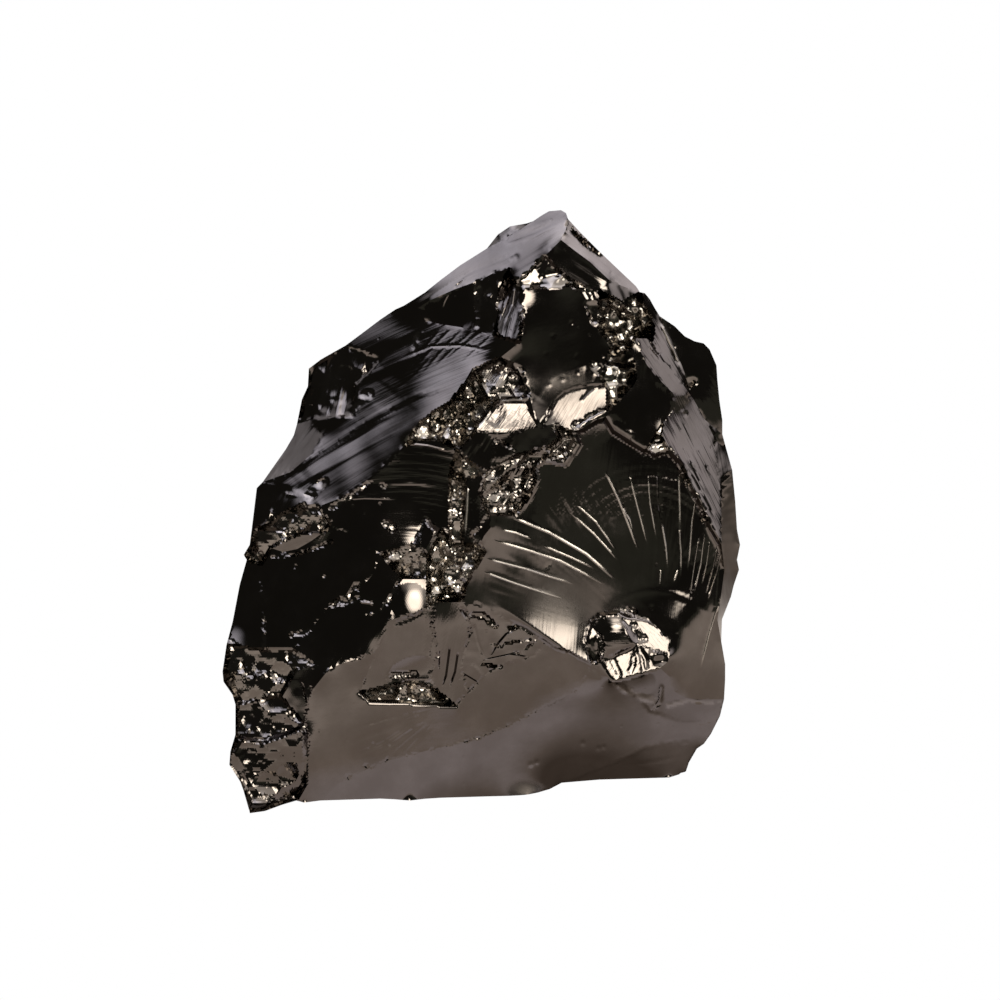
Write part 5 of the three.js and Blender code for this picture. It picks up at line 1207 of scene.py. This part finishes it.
        (pit, (5.1, 4.5), 0.22, 0.1), (pit, (5.7, 4.7), 0.22, 0.1), (pit, (10.3, 6.6), 0.24, 0.08),
        (pit, (11.9, 6.1), 0.2, 0.1), (pit, (12.4, 6.2), 0.18, 0.1), (pit, (-2.2, 5.4), 0.16, 0.08),
        (pit, (-1.6, 5.2), 0.14, 0.08), (ray, [(19, 8.8), (21, 8.6), (23.4, 8.9)], 0.31, -0.05),
        (ray, [(7.4, 2.6), (10.3, 3.4), (16, 5.5), (19.3, 6.5), (22, 7.2)], 0.8, 0.07, -0.4),
    ],
    "soleRight": [(ray, [(14, 4.2), (17.5, 4.7), (20.2, 5.2)], 0.32, -0.1), (swell, 3, 0.05, 198)],
    "soleLens": [(seam, [(18.9, 10.4), (21, 10.9), (24, 10.6)], 0.22, 0.25, 0.12, 199)],
    "knobLeft": [
        (tipped, (11, 15.6), 0.9, 2, -0.25, 0.25),
        (ray, [(11.7, 17.6), (12, 15.8), (12.5, 14.8)], 0.34, 0.3),
    ],
    "knobFront": [
        (bowl, (13.6, 17.2), 2.4, 2.2, -20, -0.7), (streaks, 0, 1.5, 0.3, 0.02, 201),
        (seam, [(14.9, 19.4), (15.6, 17.9), (16, 17.2)], 0.45, 0.35, 0.22, 202),
    ],
    "knobChin": [
        (ray, [(13, 15.4), (13.8, 13.9), (14, 12.8)], 0.3, -0.12),
        (ray, [(15.4, 15.8), (15.3, 14.4), (14.8, 13.4)], 0.26, -0.16),
    ],
    "knobBright": [(seam, [(15.4, 18.4), (16.2, 17.2)], 0.5, 0.35, 0.2, 203)],
    "knobCheek": [
        (ray, [(16, 16.3), (16.6, 15), (16.7, 13.8)], 0.2, -0.14),
        (tipped, (17.9, 15.2), 0.7, 0.6, -0.3, 0.55),
    ],
    "knobFoot": [
        (bowl, (16.2, 12.8), 1.5, 1.3, 0, 0.5),
        (seam, [(13.2, 12.8), (15.4, 11.4), (17.2, 11)], 0.35, 0.35, 0.18, 207),
        (ray, [(18.2, 12.6), (18, 10.8), (17.2, 9.8)], 0.35, -0.5),
    ],
    "backCrown": [
        (ripples, (2, 62), 1.8, 50, 0.045, 301, (-170, -50), (5, 24)),
        (comb_about, (2, 62), 5, 12, 0.03, 302, (-170, -50), (5, 24)),
        (bowl, (-7.4, 46.2), 2.8, 1.5, 35, 0.4),
        (seam, [(-12, 40), (-3, 43), (6, 46)], 0.8, 0.9, 0.22, 303),
    ],
    "backPeak": [
        (ripples, (8, 62), 1.7, 50, 0.04, 305, (-120, -20), (4, 20)),
        (bowl, (12.6, 49.6), 2.4, 1.4, -40, 0.35),
    ],
    "backShoulder": [(streaks, 55, 5, 1.1, 0.05, 307), (bowl, (-13, 42.4), 1.8, 1.2, 50, 0.3)],
    "backRight": [
        (ripples, (6, 45), 1.7, 45, 0.05, 309, (-60, 40), (3, 20)),
        (bowl, (19.4, 40.2), 2.6, 1.5, -30, 0.4), (swell, 5, 0.08, 310),
    ],
    "backMain": [
        (ripples, (-3, 49), 1.9, 50, 0.055, 311, (-165, -15), (5, 28)),
        (comb_about, (-3, 49), 4, 14, 0.035, 312, (-165, -15), (5, 28)),
        (bowl, (-9, 26.4), 3.4, 2, 30, 0.5), (bowl, (1.4, 28), 2.4, 1.7, -20, 0.4), LOW_BACK_SEAM,
        LEFT_BACK_SEAM,
    ],
    "backWedge": [(ripples, (8, 47), 1.6, 40, 0.04, 315, (-130, -50), (3, 24)), (swell, 4, 0.06, 316)],
    "backLeft": [
        (ripples, (-10, 40), 1.8, 45, 0.05, 317, (-175, -80), (2, 22)),
        (bowl, (-19, 27.6), 2.6, 1.6, 60, 0.45), LEFT_BACK_SEAM,
    ],
    "backLow": [(ripples, (-15, 24), 1.7, 45, 0.05, 319, (-179, -70), (2, 20)), (swell, 4, 0.1, 320)],
    "backFoot": [
        (ripples, (-5, 27), 1.9, 45, 0.05, 321, (-170, -10), (4, 22)),
        (comb_about, (-5, 27), 4, 12, 0.03, 322, (-170, -10), (4, 22)),
        (bowl, (-13, 18.6), 3, 1.7, 20, 0.4), (bowl, (1.6, 19.4), 2.4, 1.5, -30, 0.35), LOW_BACK_SEAM,
    ],
    "backCheek": [
        (ripples, (11, 37), 1.9, 40, 0.05, 323, (-140, -40), (4, 30)),
        (bowl, (9, 26.4), 2.4, 1.5, 70, 0.4), (bowl, (14.6, 14.6), 2.8, 1.7, -20, 0.45),
        (swell, 5, 0.08, 324),
    ],
    "backSide": [
        (ripples, (22, 40), 1.6, 50, 0.05, 325, (-150, -30), (3, 22)),
        (bowl, (20.4, 24), 2.2, 1.4, 80, 0.4),
    ],
    "backHip": [(ripples, (21, 25), 1.7, 50, 0.05, 327, (-160, -20), (3, 22)), (swell, 4, 0.08, 328)],
    "backToe": [(swell, 3, 0.1, 329)],
}

# Fine combing of each face: round a centre or along an angle, its length and fineness, its depth
COMBS = {
    "crown": (30, 6, 0.3, 0.006), "crownBack": (33, 4, 0.3, 0.008), "leftScoop": (72, 3, 0.3, 0.012),
    "scoopStrip": (76, 4, 0.22, 0.012), "leaf": ((25, -26.5), 6, 0.28, 0.008),
    "thorns": (78, 2, 0.3, 0.015), "lobe": (55, 3, 0.25, 0.01), "leftCorner": (60, 3, 0.4, 0.01),
    "sheen": (-38, 3, 0.25, 0.007), "night": (-32, 4, 0.4, 0.008), "topScar": (20, 2, 1.2, 0.006),
    "glow": (60, 2, 0.16, 0.002), "edgeStrip": (-60, 4, 0.25, 0.012), "lens": (-55, 4, 0.22, 0.008),
    "backFlat": (-60, 3, 0.6, 0.006), "rightEdge": (-80, 4, 0.5, 0.01), "hatch": (-64, 4, 0.2, 0.011),
    "blackScar": (85, 3, 0.3, 0.007), "fan": (84, 5, 0.18, 0.0035), "brushed": (50, 2, 0.14, 0.01),
    "brushTop": (60, 1, 0.2, 0.012), "rippled": ((-8, 10), 8, 0.5, 0.012), "splint": (75, 2, 0.2, 0.012),
    "bandLens": (18, 3, 0.4, 0.006), "flank": (70, 3, 0.6, 0.01), "wedge": (60, 2, 0.5, 0.008),
    "lowScoop": (62, 3, 0.5, 0.008), "petal": (84, 3, 0.3, 0.007), "petalRight": (80, 3, 0.3, 0.009),
    "sole": (10, 2, 1, 0.006), "soleLow": (10, 3, 1.5, 0.006), "knobFront": (0, 2, 0.25, 0.008),
    "knobBright": (-50, 2, 0.3, 0.01), "knobChin": (60, 2, 0.3, 0.012), "backCrown": (60, 5, 0.5, 0.008),
    "backPeak": (-50, 5, 0.5, 0.008), "backShoulder": (60, 4, 0.4, 0.01), "backRight": (-70, 5, 0.5, 0.008),
    "backMain": ((-3, 49), 9, 0.6, 0.009), "backWedge": (75, 5, 0.5, 0.008), "backLeft": (70, 5, 0.5, 0.01),
    "backLow": (50, 4, 0.5, 0.01), "backFoot": ((-5, 27), 8, 0.6, 0.008), "backCheek": (80, 6, 0.6, 0.008),
    "backSide": (85, 5, 0.5, 0.01), "backHip": (70, 5, 0.5, 0.01),
}


def chipped(x, y, face, k, crush, chance):
    """How deep a crushed face is broken: the solid's bowls, then splinters, then grit in patches."""
    size, depth = face["chips"]
    shards = face.get("shards", NO_SHARDS)
    splinter = size * SPLINTER_SIZE, depth * SPLINTER_DEPTH, SPLINTER_CALM + SPLINTER_WILD * crush
    deep = bite(x, y, big_chips(face, chance))
    deep = deep + crushed(x, y, *splinter, SPLINTER_SEED + k, shards)
    patches = PATCH_MEAN + PATCH_SWING * grain(x / PATCH_SIZE, y / PATCH_SIZE, PATCH_SEED + k)
    return deep + crush * np.clip(patches, 0, 1) * crushed(x, y, *GRIT, GRIT_SEED + k, shards)


def raise_marks(skin):
    """Adds every face's chips and marks to how far the points stand out."""
    chance = Chance(CHIP_SEED)
    count = len(skin.place)
    total, shares = np.zeros(count), np.zeros(count)
    skin.crush, skin.crest, skin.haze = np.zeros(count), np.zeros(count), np.zeros(count)
    for k, (name, face, _, ids) in enumerate(skin.faces):
        if name == "base":
            continue
        x, y = skin.place[ids, 0], skin.place[ids, 1]
        height = np.zeros_like(x)
        if "chips" in face:
            crush = face.get("crush", 1.0)
            height -= chipped(x, y, face, k, crush, chance)
            skin.crush[ids] = np.maximum(skin.crush[ids], crush)
        for mark, *values in MARKS.get(name, []):
            if mark in (tilt, fold):
                stops = loop_stops(face)
                values = [line_gap(x, y, [*stops, stops[0]])[0], *values]
            raised = mark(x, y, *values)
            if mark is haze:
                skin.haze[ids] = np.maximum(skin.haze[ids], raised)
                continue
            height += raised
            # A burr's crest, and the chips of a seam, get a share of painted glint colour
            if mark is burr:
                painted_glint_share = BURR_PAINTED_GLINT * (raised / values[2]) ** BURR_FOCUS
                skin.crest[ids] = np.maximum(skin.crest[ids], painted_glint_share)
            elif mark is seam:
                painted_glint_share = np.clip(-raised / values[3], 0, SEAM_PAINTED_GLINT)
                skin.crest[ids] = np.maximum(skin.crest[ids], painted_glint_share)
        total[ids] += height
        shares[ids] += 1
    total /= np.maximum(shares, 1)
    ridges = shares > 1
    x, y = skin.place[ridges].T
    broken = sum(share * grain(x / size, y / size, seed) for size, share, seed in RIDGE_GRAINS)
    total[ridges] -= RIDGE_CHIP * np.maximum(0, broken)
    total[np.intersect1d(skin.three[~skin.hidden], skin.three[skin.hidden])] = 0
    total[skin.low] = 0
    skin.out = skin.out + total


def combing(skin):
    """Where each corner of each triangle lies along and over its face's combing, and how deep that is."""
    spots = np.zeros((skin.three.size, 2), np.float32)
    depth = np.zeros(skin.three.size, np.float32)
    for k, (name, *_) in enumerate(skin.faces):
        if name not in COMBS:
            continue
        way, long, fine, deep = COMBS[name]
        corners = np.flatnonzero(np.repeat(skin.owner == k, 3))
        x, y = skin.place[skin.drawn.ravel()[corners]].T
        if isinstance(way, tuple):
            turn, over = around(x, y, way)
            along = np.radians(turn) * over
        else:
            along, over = turned(x, y, way)
        spots[corners, 0], spots[corners, 1] = along / long, over / fine
        depth[corners] = deep
    return spots, depth


def placed(skin):
    """From the layout to the stone's own frame, in metres."""
    across, up = skin.place.T
    away = up * LEAN_SIN - skin.out * LEAN_COS
    high = up * LEAN_COS + skin.out * LEAN_SIN
    across = across - (across.min() + across.max()) / 2
    away = away - (away[skin.low].min() + away[skin.low].max()) / 2
    high = np.where(skin.low, 0.0, np.maximum(high, GROUND_GAP))
    return np.stack([across, away, high], 1) * LAYOUT_SCALE * MM


def sharp_sides(skin, spots):
    """Which sides of the triangles are drawn sharp, and the sides, each as its two points in order."""
    three = skin.drawn
    corners = spots[three]
    facing = np.cross(corners[:, 1] - corners[:, 0], corners[:, 2] - corners[:, 0])
    facing /= np.linalg.norm(facing, axis=1)[:, None]
    sides = np.concatenate([three[:, [0, 1]], three[:, [1, 2]], three[:, [2, 0]]])
    sides.sort(1)
    order = np.lexsort((sides[:, 1], sides[:, 0]))
    pair = np.tile(np.arange(len(three)), 3)[order].reshape(-1, 2)
    bend = (facing[pair[:, 0]] * facing[pair[:, 1]]).sum(1)
    between = skin.owner[pair[:, 0]] != skin.owner[pair[:, 1]]
    return (bend < SHARP_BEND) | (between & (bend < RIDGE_BEND)), sides[order][::2]


def make_mesh(name, skin):
    """One closed mesh with sharp ridges, smooth faces and faceted crushed places."""
    three = skin.drawn = np.where(skin.hidden[:, None], skin.three[:, ::-1], skin.three)
    spots = placed(skin)
    mesh = bpy.data.meshes.new(name)
    mesh.vertices.add(len(spots))
    mesh.vertices.foreach_set("co", spots.astype(np.float32).ravel())
    mesh.loops.add(three.size)
    mesh.loops.foreach_set("vertex_index", three.astype(np.int32).ravel())
    mesh.polygons.add(len(three))
    mesh.polygons.foreach_set("loop_start", np.arange(0, three.size, 3, dtype=np.int32))
    mesh.update(calc_edges=True)
    mesh.validate()
    mesh.polygons.foreach_set("use_smooth", skin.owner != skin.base)

    # Blender numbers the edges in its own order, so each is looked up by its two points
    sharp, keys = sharp_sides(skin, spots)
    edges = np.zeros(len(mesh.edges) * 2, np.int32)
    mesh.edges.foreach_get("vertices", edges)
    edges = np.sort(edges.reshape(-1, 2), 1)
    count = len(spots)
    rank = np.searchsorted(keys[:, 0] * count + keys[:, 1], edges[:, 0] * count + edges[:, 1])
    edge_mark = mesh.attributes.new("sharp_edge", "BOOLEAN", "EDGE")
    edge_mark.data.foreach_set("value", sharp[rank])

    # Shares per point: crush, the crest share that carries the painted glint colour, and haze
    for kind, values in (("crush", skin.crush), ("crest", skin.crest), ("haze", skin.haze)):
        layer = mesh.attributes.new(kind, "FLOAT", "POINT")
        layer.data.foreach_set("value", values.astype(np.float32))
    along_over, depth = combing(skin)
    mesh.uv_layers.new(name="comb").uv.foreach_set("vector", along_over.ravel())
    mesh.attributes.new("comb_depth", "FLOAT", "CORNER").data.foreach_set("value", depth)
    stone = bpy.data.objects.new(name, mesh)
    bpy.context.scene.collection.objects.link(stone)
    return stone


class Wire:
    """A socket in a node tree. Sums on it add Math nodes; node() adds any other node."""

    def __init__(self, tree, socket=None):
        self.tree = tree
        self.socket = socket

    def node(self, kind, settings=None, inputs=None, output=0):
        """Adds one node: first its settings, then the values or links of its sockets."""
        made = self.tree.nodes.new(kind)
        for key, value in (settings or {}).items():
            if key == "stops":
                ramp = made.color_ramp.elements
                while len(ramp) < len(value):
                    ramp.new(0.5)
                for stop, (place, colour) in zip(ramp, value):
                    stop.position = place
                    stop.color = colour
            else:
                setattr(made, key, value)
        for key, value in (inputs or {}).items():
            if isinstance(value, Wire):
                self.tree.links.new(value.socket, made.inputs[key])
            else:
                made.inputs[key].default_value = value
        return Wire(self.tree, made.outputs[output] if made.outputs else None)

    def maths(self, operation, first, second):
        return self.node("ShaderNodeMath", {"operation": operation}, {0: first, 1: second})

    def __add__(self, other):
        return self.maths("ADD", self, other)

    def __sub__(self, other):
        return self.maths("SUBTRACT", self, other)

    def __rsub__(self, other):
        return self.maths("SUBTRACT", other, self)

    def __mul__(self, other):
        return self.maths("MULTIPLY", self, other)

    __radd__ = __add__
    __rmul__ = __mul__

    def ease(self, low, high):
        """0 below low, 1 above high, and a soft step between them."""
        return self.node(
            "ShaderNodeMapRange",
            {"interpolation_type": "SMOOTHSTEP"},
            {"Value": self, "From Min": low, "From Max": high},
        )


def mix(share, first, second, way="MIX"):
    """Mixes the second colour into the first, or adds it, by a share from 0 to 1."""
    first, second = (colour if isinstance(colour, Wire) else (*colour, 1) for colour in (first, second))
    settings = {"data_type": "RGBA", "blend_type": way}
    return share.node("ShaderNodeMix", settings, {0: share, 6: first, 7: second}, output=2)


def fresh_tree(owner):
    """Empties the node tree of a material or a world, ready to be wired."""
    owner.use_nodes = True
    owner.node_tree.nodes.clear()
    return Wire(owner.node_tree)


def shungite_finish():
    """Near-black semi-metallic mirror, a little warm, with combed and pitted places, a painted glint on the
    crests of burrs and seams, and a lighter, partly painted sheen on crushed places.
    """
    material = bpy.data.materials.new("shungite_mirror_black")
    wire = fresh_tree(material)
    place = wire.node("ShaderNodeTexCoord", output="Object")
    wave = wire.node(
        "ShaderNodeTexNoise",
        {"noise_dimensions": "3D"},
        {"Vector": place, "Scale": WAVE_SCALE, "Detail": 4.0, "Roughness": 0.55},
    )
    grime = wire.node(
        "ShaderNodeTexNoise",
        {"noise_dimensions": "3D"},
        {"Vector": place, "Scale": GRIME_SCALE, "Detail": 5.0, "Roughness": 0.6},
    )
    pits = wire.node(
        "ShaderNodeTexVoronoi",
        {"voronoi_dimensions": "3D", "feature": "F1"},
        {"Vector": place, "Scale": PIT_SCALE, "Randomness": 1.0},
        output="Distance",
    )
    lines = wire.node("ShaderNodeUVMap", {"uv_map": "comb"})
    combed = wire.node(
        "ShaderNodeTexNoise", {"noise_dimensions": "2D"}, {"Vector": lines, "Scale": 1.0, "Detail": 3.0}
    )
    crush, crest, dull, depth = (
        wire.node("ShaderNodeAttribute", {"attribute_name": name}, output="Fac")
        for name in ("crush", "crest", "haze", "comb_depth")
    )
    pit_mask = 1.0 - pits.ease(*PIT_RIM)
    relief = combed * depth * COMB_RELIEF + wave * WAVE_RELIEF - pit_mask * PIT_RELIEF
    bump = wire.node("ShaderNodeBump", inputs={"Distance": MM, "Height": relief}, output="Normal")
    rough = ROUGH_MIRROR + ROUGH_GRIME * grime.ease(*GRIME_STAIN)
    rough = rough + ROUGH_CRUSHED * crush * grime.ease(*GRIME_WEAR)
    rough = rough + ROUGH_PIT * pit_mask + ROUGH_CREST * crest + dull
    tint = mix(grime.ease(*GRIME_TINT), STONE_DARK, STONE_LIGHT)
    # Crushed places are lighter: partly the greyer crushed stone, partly a painted sheen standing in for the
    # light their chips catch
    tint = mix(crush, tint, STONE_CRUSHED_PAINTED_SHEEN)
    # Painted glint: the crests of burrs and seams are painted a light colour, and made rougher
    tint = mix(crest, tint, STONE_PAINTED_GLINT)
    shader = wire.node(
        "ShaderNodeBsdfPrincipled",
        inputs={
            "Base Color": tint,
            "Metallic": 1.0,
            "Roughness": rough,
            "Normal": bump,
            "Specular Tint": (*STONE_GLANCE, 1),
        },
    )
    wire.node("ShaderNodeOutputMaterial", inputs={"Surface": shader})
    return material


def ground_with_painted_shade():
    """A ground that is plain white to the camera; where the stone mirrors it, it glows with painted shade in
    rings round the stone, a dark painted shadow close in and a brighter painted ring beyond, fading to
    painted dark in front and far off.
    """
    material = bpy.data.materials.new("studio_ground_white")
    wire = fresh_tree(material)
    place = wire.node("ShaderNodeTexCoord", output="Object")
    middle = {0: place, 1: (GROUND_MIDDLE, 0.0, 0.0)}
    gap = wire.node("ShaderNodeVectorMath", {"operation": "DISTANCE"}, middle, output="Value")
    away = wire.node("ShaderNodeSeparateXYZ", inputs={0: place}, output="Y")
    end = gap.ease(*GROUND_END) * (away * -1.0).ease(*GROUND_FRONT)
    inner, outer = GROUND_PAINTED_RINGS[0][0], GROUND_PAINTED_RINGS[-1][0]
    share = wire.node("ShaderNodeMapRange", inputs={"Value": gap, "From Min": inner, "From Max": outer})
    rings = [((edge - inner) / (outer - inner), (*colour, 1)) for edge, colour in GROUND_PAINTED_RINGS]
    # Painted shadow and painted light in rings, fading to painted dark in front and far off
    painted_rings = mix(end, wire.node("ShaderNodeValToRGB", {"stops": rings}, {"Fac": share}), GROUND_DIM)
    seen = wire.node("ShaderNodeLightPath", output="Is Camera Ray")
    glow = wire.node("ShaderNodeEmission", inputs={"Color": mix(seen, painted_rings, WHITE), "Strength": 1.0})
    wire.node("ShaderNodeOutputMaterial", inputs={"Surface": glow})
    return material


def studio():
    """White ground, with painted shade where the stone mirrors it, and soft panels of light around a dark
    room.
    """
    ground = bpy.data.meshes.new("studio_ground")
    sides = ((-1, -1), (1, -1), (1, 1), (-1, 1))
    corners = [(x * GROUND_HALF, y * GROUND_HALF, GROUND_LOW) for x, y in sides]
    ground.from_pydata(corners, [], [(0, 1, 2, 3)])
    ground_object = bpy.data.objects.new("studio_ground", ground)
    bpy.context.scene.collection.objects.link(ground_object)
    ground.materials.append(ground_with_painted_shade())

    world = bpy.data.worlds.new("studio_room")
    bpy.context.scene.world = world
    wire = fresh_tree(world)
    aim = wire.node("ShaderNodeTexCoord", output="Generated")
    room = ROOM_DARK
    for azimuth, height, inner, outer, light in PANELS:
        turn, rise = math.radians(azimuth), math.radians(height)
        towards = (math.sin(turn) * math.cos(rise), -math.cos(turn) * math.cos(rise), math.sin(rise))
        close = wire.node(
            "ShaderNodeVectorMath", {"operation": "DOT_PRODUCT"}, {0: aim, 1: towards}, output="Value"
        )
        mask = close.ease(math.cos(math.radians(outer)), math.cos(math.radians(inner)))
        room = mix(mask, room, light, "ADD")
    seen = wire.node("ShaderNodeLightPath", output="Is Camera Ray")
    back = wire.node("ShaderNodeBackground", inputs={"Color": mix(seen, room, WHITE), "Strength": 1.0})
    wire.node("ShaderNodeOutputWorld", inputs={"Surface": back})


def camera(skin):
    """Looks square on to the layout plane from far off with a long lens."""
    data = bpy.data.cameras.new("viewer")
    data.lens = LENS
    data.sensor_width = SENSOR_WIDTH
    data.clip_start, data.clip_end = VIEW_REACH
    away = VIEW_WIDTH * LAYOUT_SCALE * MM * LENS / SENSOR_WIDTH
    x_mid = (skin.place[:, 0].min() + skin.place[:, 0].max()) / 2
    grounded_away = skin.place[skin.low, 1] / LEAN_SIN
    y_mid = (grounded_away.min() + grounded_away.max()) / 2
    across, up, out = VIEW_CENTRE
    aim = Vector((across - x_mid, up * LEAN_SIN - out * LEAN_COS - y_mid, up * LEAN_COS + out * LEAN_SIN))
    towards = Vector((0, -LEAN_COS, LEAN_SIN))
    viewer = bpy.data.objects.new("viewer", data)
    viewer.location = aim * LAYOUT_SCALE * MM + towards * away
    viewer.rotation_mode = "QUATERNION"
    viewer.rotation_quaternion = (-towards).to_track_quat("-Z", "Y")
    bpy.context.scene.collection.objects.link(viewer)
    bpy.context.scene.camera = viewer


skin = build_skin()
balance(skin)
raise_marks(skin)
stone = make_mesh("shungite_stone_surface", skin)
stone.data.materials.append(shungite_finish())
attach(stone, "root")
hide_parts("shungite_stone")
studio()
camera(skin)
bpy.context.scene.view_settings.view_transform = "Standard"
